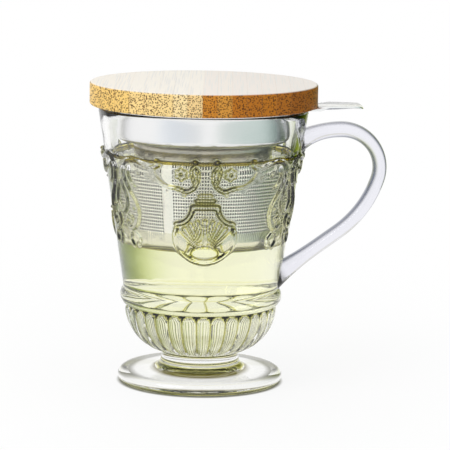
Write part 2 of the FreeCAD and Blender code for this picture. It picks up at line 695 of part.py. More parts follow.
def add_tab(body):
    """The thumb tab: a tapering tongue of the flange's own sheet with round corners."""
    sketch = new_sketch(body, "tab_shape", "XY_Plane")
    sketch.AttachmentOffset = FreeCAD.Placement(
        FreeCAD.Vector(0, 0, value("rim_height")), FreeCAD.Rotation()
    )
    sketch.setExpression("AttachmentOffset.Base.z", bound("rim_height"))
    root = "collar_radius + tab_hold"
    near, far = value(root), value("tab_reach")
    wide, slim = value("tab_root_width") / 2, value("tab_tip_width") / 2
    spots = [(near, -wide), (far, -slim), (far, slim), (near, wide)]
    for i in range(4):
        start, end = spots[i], spots[(i + 1) % 4]
        line = Part.LineSegment(FreeCAD.Vector(*start, 0), FreeCAD.Vector(*end, 0))
        sketch.addGeometry(line)
    for i in range(4):
        sketch.addConstraint(Sketcher.Constraint("Coincident", i, 2, (i + 1) % 4, 1))
    sketch.addConstraint(Sketcher.Constraint("Symmetric", 3, 1, 3, 2, -1))
    sketch.addConstraint(Sketcher.Constraint("Symmetric", 1, 1, 1, 2, -1))
    drive(sketch, "DistanceX", (-1, 1, 3, 2), "root", root)
    drive(sketch, "DistanceX", (-1, 1, 1, 1), "reach", "tab_reach")
    drive(sketch, "DistanceY", (3, 2, 3, 1), "wide", "tab_root_width")
    drive(sketch, "DistanceY", (1, 1, 1, 2), "slim", "tab_tip_width")
    pad = body.newObject("PartDesign::Pad", "tab")
    pad.Profile = sketch
    pad.Length = value("flange_sheet")
    pad.setExpression("Length", bound("flange_sheet"))
    doc.recompute()
    corners = []
    for i, edge in enumerate(pad.Shape.Edges, start=1):
        ends = [vertex.Point for vertex in edge.Vertexes]
        upright = len(ends) == 2 and abs(ends[0].x - ends[1].x) < SAME
        upright = upright and abs(ends[0].y - ends[1].y) < SAME
        if upright and abs(ends[0].x - far) < SAME:
            corners.append("Edge%d" % i)
    fillet = body.newObject("PartDesign::Fillet", "tab_corners")
    fillet.Base = (pad, corners)
    fillet.Radius = value("tab_round")
    fillet.setExpression("Radius", bound("tab_round"))
    doc.recompute()


def make_lid_blank():
    """The lid's board as it is turned from the glued strips."""
    body = doc.addObject("PartDesign::Body", "lid_blank")
    edge = "lid_radius - lid_bevel"
    corners = [
        ("0", "flange_top"),
        (edge, "flange_top"),
        ("lid_radius", "flange_top + lid_bevel"),
        ("lid_radius", "lid_top - lid_bevel"),
        (edge, "lid_top"),
        ("0", "lid_top"),
    ]
    turned(body, "lid_turning", outline(body, "lid_profile", corners))
    return body


def make_strip(blank, index):
    """One bamboo strip: the slice of the turned lid between two glue lines."""
    slab = doc.addObject("Part::Box", "slab_%02d" % index)
    slab.setExpression("Length", bound("strip_pitch"))
    slab.setExpression("Width", bound("2 * (lid_radius + slab_margin)"))
    slab.setExpression("Height", bound("lid_thick + 2 * slab_margin"))
    left = "%d * strip_pitch - lid_radius" % (index - 1)
    slab.setExpression("Placement.Base.x", bound(left))
    slab.setExpression("Placement.Base.y", bound("-lid_radius - slab_margin"))
    slab.setExpression("Placement.Base.z", bound("flange_top - slab_margin"))
    strip = doc.addObject("Part::Common", "bamboo_strip_%02d" % index)
    strip.Base = blank
    strip.Tool = slab
    strip.Label = "bamboo_strip_%02d" % index
    made.append(strip)
    return strip


def make_lid_plug():
    """The disc glued under the lid, which keeps it centred, with the sealing ring's groove."""
    body = new_body("lid_plug")
    bed = "plug_radius - seal_bed"
    corners = [
        ("0", "plug_foot"),
        ("plug_radius", "plug_foot"),
        ("plug_radius", "seal_top - seal_thick"),
        (bed, "seal_top - seal_thick"),
        (bed, "seal_top"),
        ("plug_radius", "seal_top"),
        ("plug_radius", "flange_top"),
        ("0", "flange_top"),
    ]
    turned(body, "plug_turning", outline(body, "plug_profile", corners))
    return body


def make_lid_seal():
    """The silicone ring in the disc's groove, with its lip towards the collar."""
    body = new_body("lid_seal")
    bed = "plug_radius - seal_bed"
    corners = [
        (bed, "seal_top - seal_thick"),
        ("plug_radius", "seal_top - seal_thick"),
        ("collar_bore - seal_gap", "seal_top - seal_thick / 2"),
        ("plug_radius", "seal_top"),
        (bed, "seal_top"),
    ]
    turned(body, "seal_turning", outline(body, "seal_profile", corners))
    return body


def check_and_write():
    """Stops on a failed object or a bad solid, then writes each piece to its own file."""
    doc.recompute()
    for thing in doc.Objects:
        if "Invalid" in thing.State or "Error" in thing.State:
            raise ValueError("%s is %s" % (thing.Label, thing.State))
    os.makedirs("parts", exist_ok=True)
    facets = 0
    for piece in made:
        shape = piece.Shape
        if shape.isNull() or not shape.isValid() or not shape.Solids:
            raise ValueError(piece.Label + " has no sound solid")
        shape.exportStep("parts/%s.step" % piece.Label)
        here = len(shape.tessellate(PRINT_TOLERANCE)[1])
        facets += here
        box = shape.BoundBox
        print("%-16s %6d %9.1f mm3  x %6.1f %6.1f  y %6.1f %6.1f  z %6.1f %6.1f" % (
            piece.Label, here, shape.Volume, box.XMin, box.XMax, box.YMin, box.YMax,
            box.ZMin, box.ZMax))
    print("%d pieces, about %d facets" % (len(made), facets))


make_glass_mug()
make_glass_handle()
make_flange_ring()
make_collar_cup()
make_basket_wall()
make_basket_base()
lid_blank = make_lid_blank()
for number in range(1, int(value("strip_count")) + 1):
    make_strip(lid_blank, number)
make_lid_plug()
make_lid_seal()
check_and_write()
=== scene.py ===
# %% [markdown]
# # A lidded tea mug with a lift-out infuser
#
# The object is a pressed glass mug on a foot. A perforated steel basket hangs
# in it by a flange, and a lid of glued bamboo strips closes it.
# The CAD model fixes every size and place. This script gives each piece its
# fine shape and its finish, in the same frame: metres, +Z up, the mug's axis
# on the origin and its handle to +X.
#
# The frame is loaded first, because every later piece is placed by it.

# %% Load the frame
import math

import bpy
import numpy as np
from mathutils import Matrix, Vector


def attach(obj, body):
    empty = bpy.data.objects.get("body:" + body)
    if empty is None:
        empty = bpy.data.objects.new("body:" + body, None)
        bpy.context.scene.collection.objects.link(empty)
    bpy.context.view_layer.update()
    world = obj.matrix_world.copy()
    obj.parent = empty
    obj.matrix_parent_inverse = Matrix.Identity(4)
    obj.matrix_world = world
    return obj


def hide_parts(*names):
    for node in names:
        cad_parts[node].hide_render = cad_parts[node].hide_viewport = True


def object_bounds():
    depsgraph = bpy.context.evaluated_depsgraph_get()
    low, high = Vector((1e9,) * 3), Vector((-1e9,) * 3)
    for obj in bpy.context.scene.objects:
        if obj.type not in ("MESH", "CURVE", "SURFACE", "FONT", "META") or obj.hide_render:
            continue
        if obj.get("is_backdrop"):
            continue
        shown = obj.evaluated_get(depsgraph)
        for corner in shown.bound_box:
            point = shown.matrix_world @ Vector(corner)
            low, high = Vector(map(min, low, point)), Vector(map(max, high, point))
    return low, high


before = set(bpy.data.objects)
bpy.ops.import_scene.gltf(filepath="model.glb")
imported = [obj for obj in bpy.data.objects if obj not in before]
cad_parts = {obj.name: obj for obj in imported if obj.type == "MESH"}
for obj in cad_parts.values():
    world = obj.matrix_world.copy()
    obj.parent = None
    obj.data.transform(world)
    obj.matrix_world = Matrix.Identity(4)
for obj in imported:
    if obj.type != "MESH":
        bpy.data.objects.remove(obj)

cad_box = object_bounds()
print("CAD nodes:", len(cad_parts))

# %% [markdown]
# ## From arrays to a mesh
#
# A turned or swept piece is a grid of points: rows along a profile, columns
# round an axis or a section. Blender's own primitives could be bent into
# shape, but a grid worked out with numpy keeps every radius exact, and its
# faces follow from the row and column numbers alone.
# Shapes are written in millimetres, as a maker would, and one function turns
# them into metres when the mesh is made.

# %% Mesh from arrays
MILLIMETRE = 0.001


def add_piece(name, points, quads, triangles=None, flat=None):
    """A mesh object from points in millimetres and rows of corner numbers.

    flat marks the quads that keep a hard edge; all other faces are smooth.
    """
    triangles = np.zeros((0, 3), int) if triangles is None else triangles
    mesh = bpy.data.meshes.new(name)
    points = np.asarray(points, float).reshape(-1, 3) * MILLIMETRE
    mesh.vertices.add(len(points))
    mesh.vertices.foreach_set("co", points.ravel())
    corners = np.concatenate([quads.ravel(), triangles.ravel()])
    mesh.loops.add(len(corners))
    mesh.loops.foreach_set("vertex_index", corners.astype(np.int32))
    starts = np.concatenate([
        4 * np.arange(len(quads)),
        4 * len(quads) + 3 * np.arange(len(triangles)),
    ])
    mesh.polygons.add(len(starts))
    mesh.polygons.foreach_set("loop_start", starts.astype(np.int32))
    smooth = np.ones(len(starts), bool)
    if flat is not None:
        smooth[:len(quads)] = ~flat
    mesh.polygons.foreach_set("use_smooth", smooth)
    mesh.update(calc_edges=True)
    mesh.validate()
    piece = bpy.data.objects.new(name, mesh)
    bpy.context.scene.collection.objects.link(piece)
    print("%s: %d triangles" % (name, 2 * len(quads) + len(triangles)))
    return piece


def store(piece, name, values):
    """Keeps one number for each point of a piece, for its material to read."""
    attribute = piece.data.attributes.new(name, "FLOAT", "POINT")
    attribute.data.foreach_set("value", np.asarray(values, np.float32).ravel())


# %% [markdown]
# ## Grids
#
# Points are numbered row by row. A quad joins four neighbours, going right
# and then up, so its outer side is the one seen from outside while the rows
# climb. A grid may close on itself in its columns, as a turned shape does, or
# in its rows too, as a ring does. A pole closes an open end with triangles.

# %% Faces of a grid
def grid_quads(rows, columns, ring=False):
    """Quads of a grid that is closed round its columns, and round its rows if ring."""
    row = np.arange(rows if ring else rows - 1)[:, None]
    column = np.arange(columns)[None, :]
    above = (row + 1) % rows
    right = (column + 1) % columns
    corners = (row * columns + column, row * columns + right,
               above * columns + right, above * columns + column)
    return np.stack(np.broadcast_arrays(*corners), -1).reshape(-1, 4)


def pole_triangles(first, columns, pole, last=False):
    """Triangles from a row of points, starting at first, to one pole point."""
    column = np.arange(columns)
    right = (column + 1) % columns
    here = np.full(columns, pole)
    corners = (first + column, first + right, here) if last else (
        here, first + right, first + column)
    return np.stack(corners, -1)


# %% [markdown]
# ## Profiles
#
# The mug, the tea and the infuser's cup are turned shapes, each the path of
# one profile about the axis. A profile is built from straight runs and arcs,
# as the drawing has them, sampled finely. Then rows are laid along it, close
# together where the surface has detail and far apart where it's plain: the
# row number at a place is the sum of the steps up to it, each divided by the
# spacing wanted there.

# %% Runs, arcs and rows
FINE = 0.05


def run(start, end, spacing):
    """Points on a straight line, each as radius, height and wanted row spacing."""
    start, end = np.array(start, float), np.array(end, float)
    count = max(int(np.hypot(*(end - start)) / FINE), 2)
    share = np.linspace(0, 1, count, endpoint=False)[:, None]
    line = start + (end - start) * share
    return np.column_stack([line, np.full(count, spacing)])


def arc(centre, radius, begin, finish, spacing):
    """Points centre + radius (cos a, sin a), with a from begin to finish in degrees."""
    count = max(int(radius * abs(math.radians(finish - begin)) / FINE), 2)
    angle = np.radians(np.linspace(begin, finish, count, endpoint=False))
    round_x = centre[0] + radius * np.cos(angle)
    round_z = centre[1] + radius * np.sin(angle)
    return np.column_stack([round_x, round_z, np.full(count, spacing)])


def lay_rows(parts, last):
    """Rows along the joined parts, at the steps of their own spacing, with a last point."""
    fine = np.concatenate(parts + [np.array([[*last, parts[-1][-1, 2]]])])
    step = np.hypot(*np.diff(fine[:, :2], axis=0).T)
    number = np.concatenate([[0], np.cumsum(step / fine[:-1, 2])])
    rows = np.linspace(0, number[-1], int(round(number[-1])) + 1)
    radius = np.interp(rows, number, fine[:, 0])
    height = np.interp(rows, number, fine[:, 1])
    return radius, height


def turn(radius, height, columns):
    """Points (r cos a, r sin a, h), from grids of r and h that have a row for each height."""
    angle = 2 * math.pi * np.arange(columns) / columns
    across, along = radius * np.cos(angle), radius * np.sin(angle)
    return np.stack([across, along, np.broadcast_to(height, across.shape)], -1)


def add_capped(name, points, columns):
    """A closed piece: the first and the last row each end in a pole at the row's middle."""
    rows = len(points)
    count = rows * columns
    corners = np.concatenate([points.reshape(-1, 3), [points[0].mean(0), points[-1].mean(0)]])
    triangles = np.concatenate([
        pole_triangles(0, columns, count),
        pole_triangles(count - columns, columns, count + 1, last=True),
    ])
    return add_piece(name, corners, grid_quads(rows, columns), triangles)


def ring_piece(name, section, columns):
    """A ring whose closed section, listed so that its outer side climbs, is turned."""
    radius, height = np.array(section).T
    points = turn(radius[:, None], height[:, None], columns)
    return add_piece(name, points, grid_quads(len(radius), columns, ring=True))


# %% [markdown]
# ## The mug's profile
#
# Pressed glass has no sharp corners: fire rounds them all. So the rim is a
# half oval, the ledge ring under the wall bulges between two soft creases,
# and the foot ends in a round edge. The profile starts under the foot on the
# axis, climbs the outside, turns over the rim and comes down inside to the
# middle of the floor. One closed skin like this is what refraction needs:
# each ray then enters and leaves the glass where the real one does.

# %% The mug's sizes and outline
FOOT_RADIUS, FOOT_EDGE, FOOT_CROWN = 34.7, 5.5, 6.5
STEM_RADIUS, STEM_FILLET = 16.3, 4.0
RECESS_RADIUS, RECESS_DEPTH = 17.0, 3.0
BOWL_WAIST, BOWL_HEIGHT, BOWL_BEND, BOWL_WALL = 12.0, 32.7, 20.0, 4.5
LEDGE_FOOT, LEDGE_TOP, LEDGE_BULGE = 33.2, 40.2, 1.6
WALL_FOOT, WALL_RIM, WALL_GLASS = 32.6, 44.0, 3.0
RIM_HEIGHT, LIP = 116.2, 1.2
RELIEF_LOW, RELIEF_HIGH = 55.0, 101.0
COLUMNS = 432


def wall_radius(height):
    """The outer radius of the flaring wall, a straight line from ledge to rim."""
    share = (height - LEDGE_TOP) / (RIM_HEIGHT - LEDGE_TOP)
    return WALL_FOOT + (WALL_RIM - WALL_FOOT) * share


def mug_outline():
    """The mug's profile as radius and height, from under the foot to the inner floor."""
    edge = FOOT_RADIUS - FOOT_EDGE / 2
    dome = (RECESS_RADIUS ** 2 + RECESS_DEPTH ** 2) / (2 * RECESS_DEPTH)
    half = math.degrees(math.asin(RECESS_RADIUS / dome))
    stem_drop = math.degrees(math.acos((STEM_RADIUS - BOWL_WAIST) / BOWL_BEND))
    ledge_mid = (LEDGE_FOOT + LEDGE_TOP) / 2
    inner = BOWL_BEND - BOWL_WALL
    lip_low = RIM_HEIGHT - LIP
    outside = wall_radius(lip_low)
    lip_mid, lip_half = outside - WALL_GLASS / 2, WALL_GLASS / 2
    over = np.radians(np.linspace(0, 180, 60))
    lip = np.column_stack([
        lip_mid + lip_half * np.cos(over), lip_low + LIP * np.sin(over),
        np.full(60, 0.5),
    ])
    swell = np.linspace(-1, 1, 90)
    ledge = np.column_stack([
        BOWL_WAIST + BOWL_BEND + 0.3 + 0.3 * swell
        + LEDGE_BULGE * (1 - swell ** 2) ** 0.75,
        ledge_mid + (LEDGE_TOP - LEDGE_FOOT) / 2 * swell,
        np.full(90, 0.6),
    ])
    parts = [
        arc((0, RECESS_DEPTH - dome), dome, 89.5, 90 - half, 2.5),
        run((RECESS_RADIUS, 0), (edge, 0), 3.0),
        arc((edge, FOOT_EDGE / 2), FOOT_EDGE / 2, -90, 88, 0.75),
        run((edge, FOOT_EDGE), (STEM_RADIUS + STEM_FILLET, FOOT_CROWN), 2.4),
        arc((STEM_RADIUS + STEM_FILLET, FOOT_CROWN + STEM_FILLET), STEM_FILLET,
            270, 180, 0.7),
        run((STEM_RADIUS, FOOT_CROWN + STEM_FILLET), (STEM_RADIUS, 12.6), 0.6),
        arc((BOWL_WAIST, BOWL_HEIGHT), BOWL_BEND, -stem_drop, 0, 1.05),
        run((BOWL_WAIST + BOWL_BEND, BOWL_HEIGHT),
            (BOWL_WAIST + BOWL_BEND, LEDGE_FOOT), 0.5),
        ledge,
        run((WALL_FOOT, LEDGE_TOP), (wall_radius(RELIEF_LOW), RELIEF_LOW), 2.2),
        run((wall_radius(RELIEF_LOW), RELIEF_LOW),
            (wall_radius(RELIEF_HIGH), RELIEF_HIGH), 0.52),
        run((wall_radius(RELIEF_HIGH), RELIEF_HIGH), (outside, lip_low), 3.0),
        lip,
        run((outside - WALL_GLASS, lip_low),
            (WALL_FOOT - WALL_GLASS + 0.1, LEDGE_TOP + 1), 7.5),
        run((WALL_FOOT - WALL_GLASS + 0.1, LEDGE_TOP + 1),
            (BOWL_WAIST + inner, BOWL_HEIGHT), 1.4),
        arc((BOWL_WAIST, BOWL_HEIGHT), inner, 0, -90, 2.0),
    ]
    return lay_rows(parts, (1.0, BOWL_HEIGHT - inner))


mug_radius, mug_height = mug_outline()
print("profile rows:", len(mug_radius), "triangles about", 2 * COLUMNS * len(mug_radius))

# %% [markdown]
# ## Ribs on the bowl
#
# Under the ledge the bowl is pressed into 32 plump ribs with round tops. A
# texture could fake them by day, but a rib bends light through the whole
# bowl, so it has to be real shape. Each rib is a half oval across, and its
# top closes in a half circle, like the end of a finger.

# %% The ribs as a height over the bowl
RIB_COUNT, RIB_TURN = 32, 8.55
RIB_HEIGHT = 1.5
RIB_TOP, RIB_FADE = 32.9, (13.5, 16.5)


def smooth_step(low, high, value):
    """0 below low, 1 above high, and 3t^2 - 2t^3 between them."""
    share = np.clip((value - low) / (high - low), 0, 1)
    return share * share * (3 - 2 * share)


def rib_sink(radius, height, angle):
    """How far the skin lies under the ribs' crests: h (1 - (1 - d^2)^0.6).

    d is the distance from the rib's middle line in half widths, and above the
    round top's centre it also grows with height.
    """
    turn_share = (np.degrees(angle) - RIB_TURN) * RIB_COUNT / 360
    across = 2 * np.abs(turn_share - np.floor(turn_share) - 0.5)
    half_width = math.pi * radius / RIB_COUNT
    rise = np.clip((height - (RIB_TOP - half_width)) / half_width, 0, 1.2)
    inside = np.clip(1 - across ** 2 - rise ** 2, 0, 1)
    depth = RIB_HEIGHT * (1 - inside ** 0.6)
    low, high = RIB_FADE
    reach = smooth_step(low, high, height)
    reach = reach * (height < LEDGE_FOOT + 0.05)
    return depth * reach


column_angle = 2 * math.pi * np.arange(COLUMNS) / COLUMNS
outer_rows = np.arange(len(mug_radius)) < np.argmax(mug_height)
sink = rib_sink(mug_radius[:, None], mug_height[:, None], column_angle[None, :])
sink = sink * outer_rows[:, None] * (mug_radius > STEM_RADIUS - 0.1)[:, None]
print("deepest place between ribs: %.2f mm" % sink.max())

# %% [markdown]
# ## Relief on the wall
#
# The wall carries pressed ornament, three times round: a scallop shell, a
# swag on each side of it, and a tall scroll between one panel and the next.
# Sculpting would be the other way. Here each line of the ornament is a smooth
# curve, and the wall stands out by the height of a half-round moulding laid
# along it. Only one half of one panel is drawn, since the panel is its own
# mirror image.

# %% Curves and mouldings
RELIEF_TURN = 272.4
PANELS = 3


def smooth_curve(points, samples=26):
    """Points on a Catmull-Rom curve: each span blends its four nearest points by cubics."""
    points = np.array(points, float)
    ends = 2 * points[0] - points[1], 2 * points[-1] - points[-2]
    padded = np.vstack([ends[0], points, ends[1]])
    a, b, c, d = padded[:-3], padded[1:-2], padded[2:-1], padded[3:]
    t = np.linspace(0, 1, samples, endpoint=False)[None, :, None]
    a, b, c, d = (p[:, None, :] for p in (a, b, c, d))
    curve = 0.5 * (2 * b + (c - a) * t + (2 * a - 5 * b + 4 * c - d) * t ** 2
                   + (3 * b - a - 3 * c + d) * t ** 3)
    return np.vstack([curve.reshape(-1, 2), points[-1]])


def moulding(across, up, curve, width, height):
    """A half-round bead along a curve: h sqrt(1 - (d / w)^2), d being the distance to it."""
    reach = np.full(across.shape, 1e9)
    for x, z in np.array_split(curve.T, max(len(curve) // 40, 1), axis=1):
        away = (across[..., None] - x) ** 2 + (up[..., None] - z) ** 2
        reach = np.minimum(reach, away.min(-1))
    return height * np.sqrt(np.clip(1 - reach / width ** 2, 0, 1))


def boss(across, up, place, size, height):
    """An oval swelling: h sqrt(1 - (x / a)^2 - (z / b)^2)."""
    away = ((across - place[0]) / size[0]) ** 2 + ((up - place[1]) / size[1]) ** 2
    return height * np.sqrt(np.clip(1 - away, 0, 1))


# %% [markdown]
# The shell is drawn in polar form about its hinge: its height rises and falls
# with the angle, one wave to each fluted ray, and it ends in a scalloped edge.
# The rosette is drawn the same way, with the waves as petals. The scrolls at
# the panel's sides lie lower, because they are seen aslant from the front.

# %% The ornament of one panel
SHELL_HINGE, SHELL_RADIUS, SHELL_HALF_ANGLE, SHELL_RAYS = (0, 60.5), 14.5, 62, 9
# Each scroll is its points, the half width of its bead, and how far it stands out.
SCROLLS = [
    ([(19, 96.6), (22, 95.3), (26, 96.3), (30.5, 97.6), (35, 96.9), (38.2, 93.6),
      (37.6, 89), (35.2, 84.5), (32, 80), (30.6, 75.5), (32, 71), (35.4, 68.4),
      (38.2, 70.2), (37.6, 73.2), (35.2, 72.8)], 1.02, 1.84),
    ([(22.5, 93.8), (21, 91.5), (22.8, 90), (24.6, 91.4)], 0.72, 1.28),
    ([(34.2, 94.2), (35.2, 91.4), (33.9, 88), (31.6, 86.4)], 0.84, 1.44),
    ([(40.5, 88), (38.8, 84), (37.4, 80), (38.6, 76.5), (40.6, 75)], 0.84, 1.44),
    ([(33.4, 66.5), (31.4, 64.5), (32.2, 61.8)], 0.96, 1.44),
    ([(36.6, 66.2), (37.2, 63.6), (35.6, 61.2)], 0.84, 1.44),
    ([(21.5, 94), (19.6, 90.8), (16, 88.2), (11.4, 87.3), (7.4, 86.2), (4.2, 88)],
     0.78, 1.44),
    ([(4.9, 96.8), (3.2, 94.6), (2.9, 91.6), (3.9, 89), (5.2, 91.6), (5.6, 94.6),
      (4.9, 96.8)], 0.54, 1.28),
    ([(5, 79.3), (6.4, 75.8), (9, 73.3), (12.4, 72.4)], 0.9, 1.76),
    ([(12.4, 70.5), (13.3, 67), (12.2, 62.8), (9, 59.4), (4.6, 57), (0, 56.2)],
     0.9, 1.76),
]
LEVEL_LINES = [(5.2, 79.6, 1.08, 1.6), (3.6, 82.4, 0.72, 1.28), (2.4, 84.6, 0.6, 1.12)]
BEADS = [((4.2, 98.2), 1.1), ((19.4, 98.2), 1.2), ((41.9, 98.4), 1.2),
         ((29.6, 92), 0.9), ((16.2, 86.2), 0.7), ((8.6, 84.6), 0.7),
         ((33.8, 77), 0.9), ((35.8, 71.2), 0.7), ((39.4, 92.4), 0.8)]
ROSETTE, ROSETTE_RADIUS, PETALS = (9.8, 93.2), 3.1, 6
BEAD_RISE, FLOWER_RISE, SHELL_FLOOR, SHELL_WAVE = 1.4, 1.4, 0.5, 1.3
SIDE_NEAR, SIDE_FAR, SIDE_DROP = 18, 26, 0.4


def polar(across, up, centre):
    """Distance from a centre, and the angle from straight up."""
    x, z = across - centre[0], up - centre[1]
    return np.hypot(x, z), np.arctan2(x, z)


def panel_relief(across, up):
    """The height of one panel's ornament at each place, across from its middle and up.

    It is the highest of the mouldings, bosses, rosette and shell at that place.
    """
    side = np.abs(across)
    height = np.zeros(across.shape)
    for points, width, rise in SCROLLS:
        height = np.maximum(height, moulding(side, up, smooth_curve(points), width, rise))
    for half, level, width, rise in LEVEL_LINES:
        line = np.column_stack([np.linspace(0, half, 40), np.full(40, level)])
        height = np.maximum(height, moulding(side, up, line, width, rise))
    for place, size in BEADS:
        height = np.maximum(height, boss(side, up, place, (size, size), BEAD_RISE * size))
    height = height * (1 - SIDE_DROP * smooth_step(SIDE_NEAR, SIDE_FAR, side))
    reach, bearing = polar(side, up, ROSETTE)
    petal = ROSETTE_RADIUS * (0.62 + 0.38 * np.abs(np.cos(PETALS / 2 * bearing)))
    flower = FLOWER_RISE * np.sqrt(np.clip(1 - (reach / petal) ** 2, 0, 1))
    height = np.maximum(height, flower * smooth_step(0.3, 1.1, reach))
    reach, bearing = polar(across, up, SHELL_HINGE)
    half_angle = math.radians(SHELL_HALF_ANGLE)
    wave = np.abs(np.cos(SHELL_RAYS * math.pi * bearing / (2 * half_angle)))
    edge = SHELL_RADIUS * (0.93 + 0.07 * wave)
    body = np.sqrt(np.clip(1 - (reach / edge) ** 6, 0, 1))
    body = body * smooth_step(0, 5, reach) * (np.abs(bearing) < half_angle)
    height = np.maximum(height, body * (SHELL_FLOOR + SHELL_WAVE * wave))
    height = np.maximum(height, boss(side, up, (10.2, 64.5), (3.4, 4.4), 1.5))
    return np.maximum(height, boss(across, up, (0, 60.2), (6.4, 3.5), 2.4))


panel_angle = (np.degrees(column_angle) - RELIEF_TURN + 60) % (360 / PANELS) - 60
relief = np.zeros((len(mug_radius), COLUMNS))
wall_rows = outer_rows & (mug_height > RELIEF_LOW) & (mug_height < RELIEF_HIGH)
mean_radius = wall_radius(85.0)
one_panel = panel_angle[None, :] * math.radians(1) * mean_radius
relief[wall_rows] = panel_relief(
    np.broadcast_to(one_panel, (wall_rows.sum(), COLUMNS)),
    np.broadcast_to(mug_height[wall_rows, None], (wall_rows.sum(), COLUMNS)),
)
print("relief rows:", wall_rows.sum(), "highest: %.2f mm" % relief.max())

# %% [markdown]
# ## The mug's skin
#
# The profile is turned, and the ribs and the relief move its points in or out
# along the radius. The result replaces the plain CAD glass.

# %% Make the mug
mug_points = turn(mug_radius[:, None] - sink + relief, mug_height[:, None], COLUMNS)
glass_mug = add_capped("pressed_glass_mug", mug_points, COLUMNS)

# %% [markdown]
# Steep sides and sharp creases are where pressed glass looks dark, or takes
# the colour of the tea. How steep each place is gets stored with the mesh,
# so that the material can paint those lines into the glass as painted shade,
# finer than light alone draws them. The valleys between ribs and the creases
# of the profile are added one by one.

# %% Store the lines of painted shade
STEEPEST = 1.9
PANEL_NEAR, PANEL_FAR, PANEL_STRONG, PANEL_WEAK = 9, 16, 1.5, 0.75
# Painted shade in the valleys between the ribs.
VALLEY_SIDE, VALLEY_FLOOR = 0.52, 0.88
# Painted shade along the creases of the profile.
# Each crease is its height, its half width, its strength, and whether it is outside.
CREASES = [
    (40.3, 0.45, 0.75, True), (33.0, 0.4, 0.8, True), (12.9, 0.5, 0.95, True),
    (9.6, 0.5, 0.8, True), (7.6, 0.9, 0.85, True), (1.2, 0.7, 0.95, True),
    (4.9, 0.35, 0.5, True), (41.3, 0.7, 0.55, False), (38.6, 0.3, 0.5, False)]


def steepness(rise):
    """The size of the slope of rise, along the profile and round the axis."""
    along = np.hypot(np.gradient(mug_radius), np.gradient(mug_height))
    up_slope = np.gradient(rise, axis=0) / along[:, None]
    step = 2 * math.pi * mug_radius[:, None] / COLUMNS
    round_slope = (np.roll(rise, -1, 1) - np.roll(rise, 1, 1)) / (2 * step)
    return np.hypot(up_slope, round_slope)


# Painted shade: dark and tea-yellow lines where the glass is steep.
line = steepness(relief - sink) / STEEPEST
from_middle = smooth_step(PANEL_NEAR, PANEL_FAR, np.abs(one_panel))
line[wall_rows] *= PANEL_STRONG + (PANEL_WEAK - PANEL_STRONG) * from_middle
line = np.clip(line, 0, 1)
line = np.maximum(line, smooth_step(VALLEY_SIDE, VALLEY_FLOOR, sink / RIB_HEIGHT))
for height, half_width, strength, outer in CREASES:
    away = np.abs(mug_height - height) / half_width
    crease = strength * np.clip(1.5 - away, 0, 1) * (outer_rows == outer)
    line = np.maximum(line, crease[:, None])
store(glass_mug, "line", np.append(line, [0, 0]))
print("share of the skin in lines: %.2f" % (line > 0.4).mean())

# %% [markdown]
# ## The handle
#
# A glass handle is a gob of hot glass drawn out and stuck on at both ends, so
# it is oval in section and spreads where it meets the wall. It could be a
# bevelled curve, but its section changes all along. So it is a swept grid: an
# oval is carried along the handle's line, and grows towards both ends. The
# line is the drawing's: an arc from the rim, a tight bow, a wide bend and a
# straight run back to the wall. The ends sink a little into the glass.

# %% The handle's middle line
HANDLE_CREST = (WALL_RIM + 14.0, RIM_HEIGHT - 8.45)
ROOT_BEND, ROOT_ANGLE = 34.0, 38.0
BOW_BEND, BOW_ANGLE = 15.8, 108.0
SWEEP_BEND, RUN_ANGLE = 46.0, 143.5
HANDLE_FOOT, HANDLE_OVERRUN = LEDGE_TOP + 5.0, 1.5
RUN_ROWS = 60


def handle_line():
    """Points and turn angles along the handle's middle line, from the rim to the ledge.

    On a bend of radius r, a turn of a from the crest is at x = r sin a, z = r cos a
    from the bend's centre.
    """
    crest_x, crest_z = HANDLE_CREST
    bow_end = math.radians(BOW_ANGLE)
    shift = BOW_BEND - SWEEP_BEND
    centres = (
        (ROOT_BEND, crest_x, crest_z - ROOT_BEND),
        (BOW_BEND, crest_x, crest_z - BOW_BEND),
        (SWEEP_BEND, crest_x + shift * math.sin(bow_end),
         crest_z - BOW_BEND + shift * math.cos(bow_end)),
    )
    spans = ((-ROOT_ANGLE - 3, 0, 40), (0, BOW_ANGLE, 70), (BOW_ANGLE, RUN_ANGLE, 40))
    pieces = []
    for (bend, x, z), (begin, end, count) in zip(centres, spans):
        angle = np.linspace(begin, end, count, endpoint=False)
        a = np.radians(angle)
        pieces.append(np.column_stack([x + bend * np.sin(a), z + bend * np.cos(a), angle]))
    bend, x, z = centres[2]
    a = math.radians(RUN_ANGLE)
    start = np.array([x + bend * math.sin(a), z + bend * math.cos(a)])
    fall = (start[1] - HANDLE_FOOT + HANDLE_OVERRUN) / math.sin(a)
    away = np.linspace(0, fall, RUN_ROWS)[:, None]
    straight = start + away * np.array([math.cos(a), -math.sin(a)])
    pieces.append(np.column_stack([straight, np.full(RUN_ROWS, RUN_ANGLE)]))
    return np.vstack(pieces)


middle_line = handle_line()
print("rows along the handle:", len(middle_line))

# %% [markdown]
# The oval is a little squarer than an ellipse: |y|^2.6 + |n|^2.6 = 1, where y
# runs across the handle and n away from its bend. Two numbers are stored with
# each point for the glass to read, both for painted shade: how near it is to the
# inner or outer edge, where a rod of glass looks dark, and how near it is to a
# root, where the glass is painted dark olive.

# %% Sweep the handle
HANDLE_WIDE, HANDLE_THICK, ROOT_WIDE, ROOT_THICK = 10.5, 5.9, 15.0, 11.0
TOP_SPREAD, LOW_SPREAD, SQUARE = (22, 2.2), (26, 2.4), 2.6
CREST_AT, CREST_REACH, CREST_RISE = 24, 12, 0.6
BOW_AT, BOW_REACH, OUTER_SHADE = 46, 22, 0.75
ROOT_NEAR, ROOT_FAR = 1.5, 7.5
HANDLE_SINK = 0.5
HANDLE_COLUMNS = 64


def bump_along(length, middle, reach):
    """A soft rise along the line: exp(-((s - middle) / reach)^2)."""
    return np.exp(-((length - middle) / reach) ** 2)


